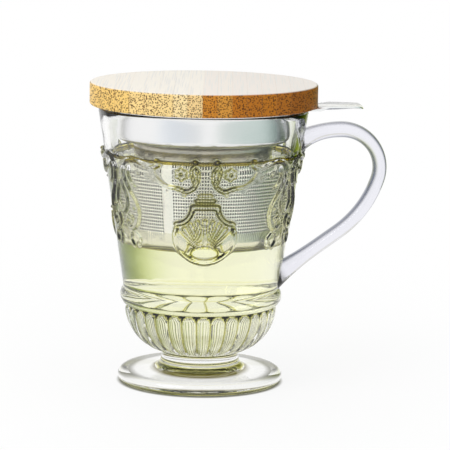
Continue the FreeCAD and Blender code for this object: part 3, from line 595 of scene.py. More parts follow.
def sweep_handle(line):
    """Ovals across the handle's line; near the wall each point stops just inside it."""
    length = np.concatenate([[0], np.cumsum(np.hypot(*np.diff(line[:, :2], axis=0).T))])
    to_end = length[-1] - length
    top = np.clip(1 - length / TOP_SPREAD[0], 0, 1) ** TOP_SPREAD[1]
    low = np.clip(1 - to_end / LOW_SPREAD[0], 0, 1) ** LOW_SPREAD[1]
    spread = np.maximum(top, low)
    wide = HANDLE_WIDE + (ROOT_WIDE - HANDLE_WIDE) * spread
    thick = HANDLE_THICK + (ROOT_THICK - HANDLE_THICK) * spread
    thick = thick + CREST_RISE * bump_along(length, CREST_AT, CREST_REACH)
    around = 2 * math.pi * np.arange(HANDLE_COLUMNS) / HANDLE_COLUMNS
    round_y, round_n = np.cos(around), np.sin(around)
    squarish = (np.abs(round_y) ** SQUARE + np.abs(round_n) ** SQUARE) ** (-1 / SQUARE)
    place = round_n * squarish
    turn_angle = np.radians(line[:, 2:3])
    out = (thick / 2)[:, None] * place
    x = line[:, :1] + np.sin(turn_angle) * out
    z = line[:, 1:2] + np.cos(turn_angle) * out
    y = (wide / 2)[:, None] * (round_y * squarish)
    inside = np.sqrt((wall_radius(z) - HANDLE_SINK) ** 2 - y ** 2)
    # Painted shade at the edges, widest on the inner edge of the bow.
    bow = bump_along(length, BOW_AT, BOW_REACH)[:, None]
    inner_edge = smooth_step(0.62 - 0.4 * bow, 0.95 - 0.25 * bow, -place)
    outer_edge = OUTER_SHADE * smooth_step(0.72, 0.98, place)
    shade = np.maximum(inner_edge, outer_edge)
    # Painted shade at the roots: 1 at either end, fading within a few millimetres.
    root = 1 - smooth_step(ROOT_NEAR, ROOT_FAR, np.minimum(length, to_end))
    return np.stack([np.maximum(x, inside), y, z], -1), shade, root


handle_points, shade, root = sweep_handle(middle_line)
glass_handle = add_capped("drawn_glass_handle", handle_points, HANDLE_COLUMNS)
store(glass_handle, "shade", np.append(shade, [0, 0]))
store(glass_handle, "root", np.append(np.repeat(root, HANDLE_COLUMNS), [1, 1]))

# %% [markdown]
# ## The tea
#
# The tea fills the mug to just under the infuser's collar. Its skin lies a
# hair inside the glass instead of at a gap from it: with a gap, the wall
# would shine like a mirror, because light would meet air there. At the wall
# the surface climbs in a small curve, which is seen as a yellow line round the
# top of the tea. It is a ring of its own, which absorbs far more than the tea,
# so that this line is painted shade in the tea's yellow.

# %% Pour the tea
TEA_LEVEL, TEA_CLIMB, TEA_OVERLAP = 97.2, 1.1, 0.12
EDGE_REACH, EDGE_FALL, EDGE_DEPTH, EDGE_BASE = 1.8, 0.5, 0.5, 0.7
TEA_COLUMNS, RING_COLUMNS = 192, 256


def tea_outline():
    """The tea's profile: the inside of the glass and a level top."""
    inner = BOWL_BEND - BOWL_WALL + TEA_OVERLAP
    glass = WALL_GLASS - TEA_OVERLAP
    rim = wall_radius(TEA_LEVEL) - glass
    parts = [
        arc((BOWL_WAIST, BOWL_HEIGHT), inner, -90, 0, 1.5),
        run((BOWL_WAIST + inner, BOWL_HEIGHT),
            (WALL_FOOT - glass + 0.1, LEDGE_TOP + 1), 1.4),
        run((WALL_FOOT - glass + 0.1, LEDGE_TOP + 1), (rim, TEA_LEVEL), 6.0),
        run((rim, TEA_LEVEL), (2.0, TEA_LEVEL), 6.0),
    ]
    return lay_rows(parts, (1.0, TEA_LEVEL))


def edge_section():
    """The climb at the wall: z = level + climb exp(-d / fall), d being the way from the glass."""
    glass = WALL_GLASS - TEA_OVERLAP
    away = np.linspace(0, EDGE_REACH, 14)
    top = TEA_LEVEL + TEA_CLIMB * np.exp(-away / EDGE_FALL)
    back = np.column_stack([wall_radius(top) - glass - away, top])
    low = TEA_LEVEL - EDGE_DEPTH
    foot = wall_radius(low) - glass
    return np.vstack([[foot - EDGE_BASE, low], [foot, low], back])


tea_radius, tea_height = tea_outline()
tea = add_capped("green_tea", turn(tea_radius[:, None], tea_height[:, None], TEA_COLUMNS),
                 TEA_COLUMNS)

# %% [markdown]
# ## The basket's perforated wall
#
# The basket is rolled from a sheet punched with thousands of tiny square
# holes, and welded along a plain strip. A see-through texture would be
# lighter, but the light through each hole and the thickness of the sheet are
# what make it look like metal. So the holes are real: the grid's lines run
# along the holes' edges, the quads on the holes are left out, and a wall
# joins the two skins wherever a solid quad meets an empty one.

# %% Punch and roll the basket
BASKET_RADIUS, BASKET_LOW_RADIUS = 29.3, 24.6
BASKET_TOP, BASKET_FOOT, SHEET = 103.0, 60.0, 0.5
HOLE_COLUMNS, HOLE_ROWS, HOLE_SHARE = 168, 22, 0.56
HOLES_LOW, HOLES_HIGH = 67.5, 97.1
SEAM_ANGLE, SEAM_WIDTH = 242.3, 4.6
FOOT_BAND, NECK_BAND = 3.5, 3.0


def basket_radius(height):
    """The outer radius of the tapering sheet, a straight line from base to collar."""
    share = (height - BASKET_FOOT) / (BASKET_TOP - BASKET_FOOT)
    return BASKET_LOW_RADIUS + (BASKET_RADIUS - BASKET_LOW_RADIUS) * share


def walls_between(solid, columns, count):
    """Quads through the sheet's thickness, wherever solid and empty cells meet.

    The outer skin's point numbers come first, and the inner skin's are count higher.
    """
    left = np.roll(solid, 1, axis=1)
    row, column = np.nonzero(solid != left)
    low, high = row * columns + column, (row + 1) * columns + column
    upright = np.stack([low + count, high + count, high, low], -1)
    keep = left[row, column]
    upright = np.where(keep[:, None], upright, upright[:, ::-1])
    empty = np.zeros((1, columns), bool)
    below, above = np.vstack([empty, solid]), np.vstack([solid, empty])
    row, column = np.nonzero(below != above)
    here, right = row * columns + column, row * columns + (column + 1) % columns
    level = np.stack([here + count, here, right, right + count], -1)
    keep = below[row, column]
    level = np.where(keep[:, None], level, level[:, ::-1])
    print("walls through the sheet:", len(upright) + len(level))
    return np.concatenate([upright, level])


def punched_sheet():
    """The rolled sheet: a cone whose grid lines run along the edges of its holes."""
    pitch = 360 / HOLE_COLUMNS
    start = SEAM_ANGLE + pitch * np.arange(HOLE_COLUMNS)
    angle = np.radians(np.column_stack([start, start + pitch * HOLE_SHARE]).ravel())
    step = (HOLES_HIGH - HOLES_LOW) / HOLE_ROWS
    low = HOLES_LOW + step * np.arange(HOLE_ROWS)
    height = np.concatenate([
        [BASKET_FOOT, BASKET_FOOT + FOOT_BAND],
        np.column_stack([low, low + step * HOLE_SHARE]).ravel(),
        [HOLES_HIGH, BASKET_TOP - NECK_BAND, BASKET_TOP]])
    holes = np.zeros((len(height) - 1, len(angle)), bool)
    holes[2:2 + 2 * HOLE_ROWS:2, 0::2] = True
    seam = math.degrees(SEAM_WIDTH / BASKET_RADIUS) / pitch
    plain = int(round(seam / 2))
    holes[:, :2 * plain] = False
    holes[:, -2 * plain:] = False
    radius = basket_radius(height)
    skins = [
        np.stack([r[:, None] * np.cos(angle), r[:, None] * np.sin(angle),
                  np.broadcast_to(height[:, None], (len(height), len(angle)))], -1)
        for r in (radius, radius - SHEET)]
    return skins, ~holes


skins, solid = punched_sheet()
columns = solid.shape[1]
count = skins[0].shape[0] * columns
cells = grid_quads(skins[0].shape[0], columns)[solid.ravel()]
edges = walls_between(solid, columns, count)
quads = np.concatenate([cells, cells[:, ::-1] + count, edges])
hard = np.arange(len(quads)) >= 2 * len(cells)
basket = add_piece("perforated_basket_wall",
                   np.concatenate([s.reshape(-1, 3) for s in skins]), quads, flat=hard)

# %% [markdown]
# ## A dark heap in the basket
#
# A dark heap, shaped as wet leaves, fills the basket: a dark thing put in as
# painted shade, so that its holes look dark. Only its outline is ever seen, so
# it is one lumpy heap just inside the sheet: a turned shape whose radius and
# height sway with a few waves of their own.

# %% Fill the basket with a dark heap of painted shade
HEAP_GAP, HEAP_LOW, HEAP_TOP = 1.6, 64.4, 97.0
HEAP_SIDE, HEAP_SWAY, HEAP_LUMPS = 0.6, 0.7, 0.9
HEAP_COLUMNS, HEAP_ROWS = 160, 60


def dark_heap_points():
    """A heap of radius R(z) - sheet - gap + sway, whose top is a low, uneven mound.

    The sway is the mean of three waves: sin(7a + 5s), sin(13a - 19t), sin(23a + 31t).
    """
    share = np.linspace(0, 1, HEAP_ROWS)[:, None]
    angle = 2 * math.pi * np.arange(HEAP_COLUMNS)[None, :] / HEAP_COLUMNS
    side = np.minimum(share / HEAP_SIDE, 1)
    across = np.clip((1 - share) / (1 - HEAP_SIDE), 0.02, 1)
    height = HEAP_LOW + (HEAP_TOP - HEAP_LOW) * side
    sway = (np.sin(7 * angle + 5 * side) + np.sin(13 * angle - 19 * share)
            + np.sin(23 * angle + 31 * share)) / 3
    radius = (basket_radius(height) - SHEET - HEAP_GAP + HEAP_SWAY * sway) * across
    height = height + HEAP_LUMPS * sway * (share > 0.5) * np.minimum(across * 2, 1)
    return np.stack([radius * np.cos(angle), radius * np.sin(angle), height], -1)


# Painted shade: a dark heap inside the sheet.
shade_heap = add_capped("dark_heap_as_shade", dark_heap_points(), HEAP_COLUMNS)

# %% [markdown]
# ## The collar
#
# The basket hangs from a deep-drawn collar: a band of sheet metal whose lower
# edge is bent in a soft radius to a flat shelf. Its section is a closed loop,
# so the grid closes in both directions and the metal has its real thickness.

# %% Draw the collar
COLLAR_RADIUS, SHELF_HEIGHT, SHELF_REACH, COLLAR_ROUND = 36.2, 103.0, 28.8, 2.8


def collar_section():
    """The collar's loop: shelf, rounded corner, band, a folded top edge, and back inside."""
    corner = (COLLAR_RADIUS - COLLAR_ROUND, SHELF_HEIGHT + COLLAR_ROUND)
    outside = [
        run((SHELF_REACH, SHELF_HEIGHT), (corner[0], SHELF_HEIGHT), 1.2),
        arc(corner, COLLAR_ROUND, -90, 0, 0.4),
        run((COLLAR_RADIUS, corner[1]), (COLLAR_RADIUS, RIM_HEIGHT - 0.3), 2.5),
    ]
    inner_round = COLLAR_ROUND - SHEET
    inside = [
        run((COLLAR_RADIUS - SHEET, RIM_HEIGHT), (COLLAR_RADIUS - SHEET, corner[1]), 2.5),
        arc(corner, inner_round, 0, -90, 0.4),
        run((corner[0], SHELF_HEIGHT + SHEET), (SHELF_REACH, SHELF_HEIGHT + SHEET), 1.2),
    ]
    out = lay_rows(outside, (COLLAR_RADIUS, RIM_HEIGHT))
    back = lay_rows(inside, (SHELF_REACH, SHELF_HEIGHT + SHEET))
    return np.concatenate([np.column_stack(out), np.column_stack(back)])


collar = ring_piece("drawn_collar", collar_section(), RING_COLUMNS)

# %% [markdown]
# The tea's climb at the wall is a closed section too, so the same function
# turns it.

# %% Turn the tea's ring
tea_edge_shaded = ring_piece("tea_at_the_wall", edge_section(), RING_COLUMNS)

# %% [markdown]
# ## The flange and its thumb tab
#
# A flat ring rests on the rim and reaches out in a tab over the handle, by
# which the hot infuser is lifted. Ring and tab are one sheet, so they are one
# grid: its outer edge is the ring's circle, pushed out to the tab's outline
# where the tab is. Past the lid the tab is bent up a little, so that a thumb
# gets under it, and its tip is rolled down, which leaves no sharp edge.

# %% Cut the flange
FLANGE_INNER, FLANGE_RADIUS, FLANGE_SHEET = 35.7, 43.6, 0.8
TAB_REACH, TAB_ROOT, TAB_TIP, TAB_ROUND = 66.3, 22.0, 14.0, 4.5
TAB_ROOT_AT = 37.2
TAB_LIFT, TIP_DROP, TIP_LENGTH = 1.2, 0.9, 3.0
LID_RADIUS = 47.5
FLANGE_COLUMNS, CROWDING = 720, 0.155


def tab_edge(angle):
    """The distance from the axis to the flange's edge at each angle.

    It is the farther of the circle and the tab, and the tab ends where its
    tapering sides, its tip and its two corner arcs do.
    """
    distance = np.full(angle.shape, FLANGE_RADIUS)
    reach = np.linspace(FLANGE_RADIUS - 4, TAB_REACH + 0.5, 1500)[:, None]
    x, y = reach * np.cos(angle), np.abs(reach * np.sin(angle))
    slope = (TAB_ROOT - TAB_TIP) / 2 / (TAB_REACH - TAB_ROOT_AT)
    side = TAB_ROOT / 2 - slope * (x - TAB_ROOT_AT)
    corner_x = TAB_REACH - TAB_ROUND
    corner_y = TAB_ROOT / 2 - slope * (corner_x - TAB_ROOT_AT) - TAB_ROUND
    straight = (y < side) & (x < corner_x)
    tip = (x >= corner_x) & (x < TAB_REACH) & (y < corner_y)
    bend = (x >= corner_x) & (np.hypot(x - corner_x, y - corner_y) < TAB_ROUND)
    inside = (straight | tip | bend) & (x > 0)
    farthest = np.where(inside, reach, 0).max(0)
    return np.maximum(distance, farthest)


def flange_angles():
    """Column angles 2 pi (s - 0.155 sin 2 pi s), which crowd together where the tab is."""
    share = np.linspace(0, 1, FLANGE_COLUMNS, endpoint=False)
    return 2 * math.pi * (share - CROWDING * np.sin(2 * math.pi * share))


def flange_points():
    """A loop of eleven rows: bottom from inside out, rounded edge, top back in.

    Each row is a share of the way out and an angle round the edge's half circle.
    """
    angle = flange_angles()
    edge = tab_edge(angle)
    round_edge = FLANGE_SHEET / 2
    share = np.array([0, 0.5, 1, 1, 1, 1, 1, 1, 1, 0.5, 0])
    bend = np.radians([-90, -90, -90, -60, -30, 0, 30, 60, 90, 90, 90])
    outer = edge - round_edge
    distance = FLANGE_INNER + (outer - FLANGE_INNER) * share[:, None]
    distance = distance + round_edge * np.cos(bend)[:, None]
    height = RIM_HEIGHT + round_edge + round_edge * np.sin(bend)[:, None]
    x, y = distance * np.cos(angle), distance * np.sin(angle)
    z = np.broadcast_to(height, x.shape)
    lift = TAB_LIFT * smooth_step(LID_RADIUS + 0.6, LID_RADIUS + 5, x)
    tip = np.clip((x - (TAB_REACH - TIP_LENGTH)) / TIP_LENGTH, 0, 1)
    return np.stack([x, y, z + lift - TIP_DROP * tip ** 2], -1)


points = flange_points()
flange = add_piece("flange_with_thumb_tab", points,
                   grid_quads(len(points), FLANGE_COLUMNS, ring=True))

# %% [markdown]
# ## The lid's strips
#
# The lid is a board glued up from bamboo strips and then cut round. Every
# strip is its own piece with its own grain, as in the workshop. Each is a
# closed sleeve round its length: for a place x across the board and a point
# (r, z) of the rounded rim, the strip ends at y = sqrt(r^2 - x^2). So the
# cut edge runs smoothly from one strip to the next.

# %% Glue up the lid
LID_LOW, LID_TOP, LID_ROUND, EDGE_STEP = 117.0, 126.5, 0.9, 3.5
STRIPS, STRIP_STEPS = 16, 14
STRIP_PITCH = 2 * LID_RADIUS / STRIPS


def rim_section():
    """The board's rim from underside to top: a bend, an upright, and a bend."""
    low = np.radians(np.linspace(-90, 0, 7))
    high = np.radians(np.linspace(0, 90, 7))
    centre = LID_RADIUS - LID_ROUND
    radius = np.concatenate([
        centre + LID_ROUND * np.cos(low), [LID_RADIUS, LID_RADIUS],
        centre + LID_ROUND * np.cos(high)])
    height = np.concatenate([
        LID_LOW + LID_ROUND + LID_ROUND * np.sin(low),
        [LID_LOW + EDGE_STEP, LID_TOP - EDGE_STEP],
        LID_TOP - LID_ROUND + LID_ROUND * np.sin(high)])
    return radius, height


def strip_grid(left, right):
    """The sleeve of one strip: columns run round it and rows run across the board."""
    radius, height = rim_section()
    share = 0.5 - 0.5 * np.cos(np.linspace(0, math.pi, STRIP_STEPS))
    reach = np.minimum(right, radius) - left
    x = left + reach[None, :] * share[:, None]
    y = np.sqrt(np.clip(radius ** 2 - x ** 2, 0, None))
    z = np.broadcast_to(height, x.shape)
    there = np.stack([x, y, z], -1)
    back = np.stack([x, -y, z], -1)[:, ::-1]
    return np.concatenate([there, back], axis=1)


def strip_piece(index):
    """One strip; those left of the middle are their twins seen in a mirror."""
    left = -LID_RADIUS + STRIP_PITCH * index
    right = left + STRIP_PITCH
    if index < STRIPS // 2:
        grid = strip_grid(-right, -left)[::-1] * np.array([-1, 1, 1])
    else:
        grid = strip_grid(left, right)
    rows, columns = grid.shape[:2]
    quads = grid_quads(rows, columns)[:, ::-1]
    half = columns // 2
    low = np.arange(half - 1)
    cap = np.stack([low, low + 1, columns - 2 - low, columns - 1 - low], -1)
    caps = [cap, (cap + (rows - 1) * columns)[:, ::-1]]
    flat = np.arange(len(quads) + 2 * len(cap)) >= len(quads)
    return add_piece("board_strip_%02d" % (index + 1), grid,
                     np.concatenate([quads] + caps), flat=flat)


strips = [strip_piece(index) for index in range(STRIPS)]

# %% [markdown]
# The two outermost strips end in a point, where front and back meet. There
# the doubled points are merged, so those strips are closed as well.

# %% Close the outermost strips
import bmesh

for strip in (strips[0], strips[-1]):
    work = bmesh.new()
    work.from_mesh(strip.data)
    bmesh.ops.remove_doubles(work, verts=work.verts, dist=1e-6)
    bmesh.ops.dissolve_degenerate(work, dist=1e-7, edges=work.edges)
    bmesh.ops.recalc_face_normals(work, faces=work.faces)
    work.to_mesh(strip.data)
    work.free()
    print(strip.name, "points after merging:", len(strip.data.vertices))

# %% [markdown]
# ## Materials
#
# Each finish is a Principled shader with its own nodes. Small helpers keep
# the node code short. All patterns read Object coordinates, which here are
# metres in the frame, so a scale of 1000 makes one unit a millimetre.

# %% Node helpers
def new_material(name):
    """A material, its node tree, its Principled shader and its output."""
    material = bpy.data.materials.new(name)
    material.use_nodes = True
    tree = material.node_tree
    return material, tree, tree.nodes["Principled BSDF"], tree.nodes["Material Output"]


def add_node(tree, kind, inputs=(), **settings):
    """A node with its settings, and its inputs given as values or as sockets to link."""
    node = tree.nodes.new(kind)
    for key, setting in settings.items():
        setattr(node, key, setting)
    for key, source in dict(inputs).items():
        if isinstance(source, bpy.types.NodeSocket):
            tree.links.new(source, node.inputs[key])
        else:
            node.inputs[key].default_value = source
    return node


def millimetres(tree, stretch=(1, 1, 1)):
    """Object coordinates in millimetres, each axis divided by its stretch."""
    place = add_node(tree, "ShaderNodeTexCoord").outputs["Object"]
    scale = [1000 / s for s in stretch]
    mapping = add_node(tree, "ShaderNodeMapping", {"Vector": place, "Scale": scale})
    return mapping.outputs["Vector"]


# %% [markdown]
# Four kinds of node come again and again: a sum, a change of range, a mix of
# two colours, and a ramp of colours along a number.

# %% Sums, ranges, mixes and ramps
def reckon(tree, operation, *values):
    """The result of a Math node."""
    return add_node(tree, "ShaderNodeMath", enumerate(values), operation=operation).outputs[0]


def rescale(tree, value, low, high, to_low=0.0, to_high=1.0, **settings):
    """A value brought from the range low to high into the range to_low to to_high."""
    node = add_node(tree, "ShaderNodeMapRange", {
        "Value": value, "From Min": low, "From Max": high,
        "To Min": to_low, "To Max": to_high}, **settings)
    return node.outputs["Result"]


def blend(tree, share, first, second):
    """Two colours, values or sockets, mixed by the share of the second."""
    first, second = (colour if isinstance(colour, bpy.types.NodeSocket) else (*colour, 1)
                     for colour in (first, second))
    node = add_node(tree, "ShaderNodeMix", {0: share, 6: first, 7: second}, data_type="RGBA")
    return node.outputs[2]


def ramp(tree, factor, stops, interpolation="LINEAR"):
    """A colour ramp whose stops are pairs of place and colour."""
    node = add_node(tree, "ShaderNodeValToRGB", {"Fac": factor})
    node.color_ramp.interpolation = interpolation
    elements = node.color_ramp.elements
    while len(elements) < len(stops):
        elements.new(1.0)
    for element, (place, colour) in zip(elements, stops):
        element.position = place
        element.color = (*colour, 1)
    return node.outputs["Color"]


# %% [markdown]
# ## Glass and tea
#
# Clear glass has no colour of its own: it is seen by what it bends and
# mirrors. So its shader is plain, with the index of soda glass, and its
# looks come from the shape and from what stands round it. Pressed glass is
# never quite even, which a very faint, wide bump gives. Tea is water that
# takes light away by depth: the longer the way through it, the greener.

# %% Clear finishes
WHITE = (1.0, 1.0, 1.0)
GLASS_INDEX, WATER_INDEX = 1.5, 1.33
WAVE_SCALE, WAVE_STRENGTH, WAVE_HEIGHT = 0.09, 0.12, 0.001


def clear_finish(name, tint, index, wavy=False):
    """A clear glass or liquid: its tint, its index of refraction, and whether it is uneven."""
    material, tree, shader, output = new_material(name)
    shader.inputs["Base Color"].default_value = (*tint, 1)
    shader.inputs["Transmission Weight"].default_value = 1.0
    shader.inputs["Roughness"].default_value = 0.0
    shader.inputs["IOR"].default_value = index
    if wavy:
        noise = add_node(tree, "ShaderNodeTexNoise", {
            "Vector": millimetres(tree), "Scale": WAVE_SCALE, "Detail": 1.0})
        uneven = add_node(tree, "ShaderNodeBump", {
            "Height": noise.outputs["Fac"], "Strength": WAVE_STRENGTH,
            "Distance": WAVE_HEIGHT})
        tree.links.new(uneven.outputs["Normal"], shader.inputs["Normal"])
    return material, tree, shader, output


def stored(tree, name):
    """The numbers that were stored with the mesh under this name."""
    return add_node(tree, "ShaderNodeAttribute", attribute_name=name).outputs["Fac"]


def absorb(tree, output, colour, density):
    """Light is lost along the way through, by (1 - colour) times density per metre."""
    depth = add_node(tree, "ShaderNodeVolumeAbsorption", {
        "Color": (*colour, 1), "Density": density})
    tree.links.new(depth.outputs["Volume"], output.inputs["Volume"])


# %% [markdown]
# The mug's stored lines are painted shade: they run from clear over the tea's
# yellow to black. The handle is tinted a faint lavender; its edges are painted
# darker blue-grey, and its roots dark olive, as painted shade for the mug's
# colours seen through them.

# %% Glass and tea
PAINTED_SHADE_LINE_COLOURS = [
    (0.0, WHITE), (0.42, (1.0, 1.0, 0.97)), (0.58, (0.86, 0.82, 0.22)),
    (0.76, (0.30, 0.28, 0.05)), (0.92, (0.02, 0.02, 0.004)), (1.0, (0.0, 0.0, 0.0))]
HANDLE_TINT, EDGE_PAINTED_SHADE, ROOT_PAINTED_SHADE = (0.86, 0.86, 0.92), (0.05, 0.06, 0.10), (0.03, 0.027, 0.003)
TEA_COLOUR, TEA_DENSITY = (0.87, 0.88, 0.20), 9.0
# Painted shade: the thin ring at the wall absorbs far more than the tea.
RIM_PAINTED_SHADE, RIM_SHADE_DENSITY = (0.86, 0.81, 0.0), 2400.0

glass, tree, shader, output = clear_finish("pressed_glass", WHITE, GLASS_INDEX, wavy=True)
# Painted shade: the glass's colour follows its stored lines.
painted_shade_lines = ramp(tree, stored(tree, "line"), PAINTED_SHADE_LINE_COLOURS)
tree.links.new(painted_shade_lines, shader.inputs["Base Color"])

handle_glass, tree, shader, output = clear_finish(
    "handle_glass", HANDLE_TINT, GLASS_INDEX, wavy=True)
# Painted shade: darker blue-grey at the edges, dark olive at the roots.
edge_shaded = blend(tree, stored(tree, "shade"), HANDLE_TINT, EDGE_PAINTED_SHADE)
rooted = blend(tree, stored(tree, "root"), edge_shaded, ROOT_PAINTED_SHADE)
tree.links.new(rooted, shader.inputs["Base Color"])

tea_liquid, tree, shader, output = clear_finish("green_tea", WHITE, WATER_INDEX)
absorb(tree, output, TEA_COLOUR, TEA_DENSITY)
edge_painted_shade, tree, shader, output = clear_finish("tea_edge_shaded", WHITE, WATER_INDEX)
absorb(tree, output, RIM_PAINTED_SHADE, RIM_SHADE_DENSITY)
print("clear finishes:", glass.name, handle_glass.name, tea_liquid.name, edge_painted_shade.name)

# %% [markdown]
# The heap is painted shade: very dark olive, mottled, with a bump of folds.

# %% The dark heap
shade_heap_finish, tree, shader, output = new_material("painted_shade_heap")
mottle = add_node(tree, "ShaderNodeTexNoise",
                  {"Vector": millimetres(tree), "Scale": 0.6, "Detail": 4.0})
colour = ramp(tree, mottle.outputs["Fac"], [
    (0.35, (0.012, 0.016, 0.004)), (0.65, (0.07, 0.085, 0.02))])
folds = add_node(tree, "ShaderNodeBump", {
    "Height": mottle.outputs["Fac"], "Strength": 0.6, "Distance": 0.0008})
tree.links.new(colour, shader.inputs["Base Color"])
tree.links.new(folds.outputs["Normal"], shader.inputs["Normal"])
shader.inputs["Roughness"].default_value = 0.5
print("leaf nodes:", len(tree.nodes))

# %% [markdown]
# ## Brushed steel
#
# The infuser is polished by a belt that runs round it. That leaves fine
# scratches along the turning, which spread each highlight up and down. Noise
# that is squeezed in height and stretched round the axis gives both a
# change of roughness and a shallow bump.

# %% The brushing group
FLOAT, COLOUR = "NodeSocketFloat", "NodeSocketColor"
brushing = bpy.data.node_groups.new("brushing", "ShaderNodeTree")
for socket, default in (("Lines", 2.5), ("Soft", 0.2), ("Rough", 0.4)):
    made = brushing.interface.new_socket(socket, in_out="INPUT", socket_type=FLOAT)
    made.default_value = default
for socket in ("Roughness", "Height"):
    brushing.interface.new_socket(socket, in_out="OUTPUT", socket_type=FLOAT)
given = add_node(brushing, "NodeGroupInput").outputs
result = add_node(brushing, "NodeGroupOutput")
scratch = add_node(brushing, "ShaderNodeTexNoise", {
    "Vector": millimetres(brushing, (12, 12, 1)), "Scale": given["Lines"],
    "Detail": 3.0, "Roughness": 0.6}).outputs["Fac"]
brushing.links.new(rescale(brushing, scratch, 0, 1, given["Soft"], given["Rough"]),
                   result.inputs["Roughness"])
brushing.links.new(scratch, result.inputs["Height"])


def steel_finish(name, colour, lines, soft, rough, depth):
    """A brushed steel: the group drives its roughness and a bump of the given depth."""
    material, tree, shader, output = new_material(name)
    group = add_node(tree, "ShaderNodeGroup", node_tree=brushing)
    for socket, value in (("Lines", lines), ("Soft", soft), ("Rough", rough)):
        group.inputs[socket].default_value = value
    bump = add_node(tree, "ShaderNodeBump", {
        "Height": group.outputs["Height"], "Strength": 0.15, "Distance": depth})
    shader.inputs["Base Color"].default_value = (*colour, 1)
    shader.inputs["Metallic"].default_value = 1.0
    tree.links.new(group.outputs["Roughness"], shader.inputs["Roughness"])
    tree.links.new(bump.outputs["Normal"], shader.inputs["Normal"])
    return material, tree, shader


# %% [markdown]
# The collar is bright. The basket's sheet is not the same all over: its inner
# skin is painted nearly black, as painted shade inside the basket; above the
# tea, up to the collar, it is painted darker, as painted shade under the
# collar's shelf; and it grows darker and more olive towards its plain foot.
# How far a place lies inside the cone of the outer skin tells the two skins
# apart.

# %% Collar steel, and sheet steel with painted shade
COLLAR_COLOUR, SHEET_COLOUR = (0.95, 0.95, 0.95), (0.96, 0.95, 0.91)
# Painted shade: the band under the collar, and the inner skin.
COLLAR_PAINTED_SHADE, INSIDE_PAINTED_SHADE = (0.46, 0.43, 0.34), (0.03, 0.03, 0.02)
# Darker and more olive towards the sheet's plain foot.
DARKER_TOWARDS_FOOT = [(0.0, (0.30, 0.28, 0.03)), (0.16, (0.50, 0.47, 0.14)),
           (0.28, (0.84, 0.82, 0.66)), (0.95, (0.86, 0.84, 0.72)), (1.0, SHEET_COLOUR)]

collar_steel, tree, shader = steel_finish(
    "collar_steel", COLLAR_COLOUR, 3.0, 0.20, 0.30, 0.00001)
sheet_steel, tree, shader = steel_finish(
    "sheet_steel", SHEET_COLOUR, 2.0, 0.14, 0.24, 0.000006)
place = add_node(tree, "ShaderNodeSeparateXYZ", {"Vector": millimetres(tree)}).outputs
level_place = add_node(tree, "ShaderNodeCombineXYZ", {"X": place["X"], "Y": place["Y"]})
from_axis = add_node(tree, "ShaderNodeVectorMath", {0: level_place.outputs[0]},
                     operation="LENGTH").outputs["Value"]
skin = rescale(tree, place["Z"], BASKET_FOOT, BASKET_TOP,
               BASKET_LOW_RADIUS, BASKET_RADIUS, clamp=False)
# Painted shade on the inner skin, which is painted nearly black.
inner = rescale(tree, reckon(tree, "SUBTRACT", skin, from_axis), 0.04, 0.16)
above_tea = rescale(tree, place["Z"], TEA_LEVEL - 0.6, TEA_LEVEL + 0.4)
darker_towards_foot = ramp(tree, rescale(tree, place["Z"], BASKET_FOOT - 1, HOLES_LOW), DARKER_TOWARDS_FOOT)
# Painted shade above the tea, under the collar's shelf.
collar_shaded = blend(tree, above_tea, darker_towards_foot, COLLAR_PAINTED_SHADE)
tree.links.new(blend(tree, inner, collar_shaded, INSIDE_PAINTED_SHADE), shader.inputs["Base Color"])
print("steels:", collar_steel.name, sheet_steel.name)

# %% [markdown]
# ## Bamboo
#
# A bamboo strip shows its fibres in three ways: long streaks on its face,
# dark dots where it is cut across, and a tone of its own. One pattern gives
# the first two, since the fibres are a bundle of threads along Y: a Voronoi
# pattern stretched sixtyfold in Y is dots on the cut ends and streaks
# everywhere else. The tone comes from noise that changes only from strip to
# strip. On top of it, the board is painted darker towards +X: painted shade,
# as from a lamp on the left.

# %% The bamboo group
# Strip tones from pale to dark, which also carry the painted shade across the board.
TONES_AND_SIDE_SHADE = [
    (0.0, (0.84, 0.52, 0.13)), (0.18, (0.86, 0.58, 0.19)), (0.36, (0.94, 0.74, 0.40)),
    (0.47, (0.78, 0.42, 0.09)), (0.56, (0.58, 0.20, 0.015)), (0.8, (0.50, 0.165, 0.016)),
    (1.0, (0.38, 0.12, 0.016))]
FIBRE_COLOUR, GLUE_COLOUR = (0.07, 0.024, 0.008), (0.34, 0.16, 0.06)

fibres = bpy.data.node_groups.new("bamboo_fibres", "ShaderNodeTree")
fibres.interface.new_socket("Shade", in_out="INPUT", socket_type=FLOAT)
fibres.interface.new_socket("Colour", in_out="OUTPUT", socket_type=COLOUR)
fibres.interface.new_socket("Height", in_out="OUTPUT", socket_type=FLOAT)
given = add_node(fibres, "NodeGroupInput").outputs
result = add_node(fibres, "NodeGroupOutput")
sides = add_node(fibres, "ShaderNodeSeparateXYZ", {"Vector": millimetres(fibres)}).outputs
number = reckon(fibres, "DIVIDE", sides["X"], STRIP_PITCH)
whole = reckon(fibres, "FLOOR", number)
chance = add_node(fibres, "ShaderNodeTexWhiteNoise", {"W": whole},
                  noise_dimensions="1D").outputs["Value"]
# Painted shade: the board grows darker towards +X, as if lit from the left.
painted_side_shade = rescale(fibres, whole, -STRIPS / 2, STRIPS / 2 - 1)
tone_and_side_shade = reckon(fibres, "MULTIPLY_ADD", chance, 0.22, painted_side_shade)
base = ramp(fibres, rescale(fibres, tone_and_side_shade, 0.06, 1.16), TONES_AND_SIDE_SHADE)

# %% [markdown]
# The fibres are thickest in patches, and a thin line of glue shows between
# one strip and the next.

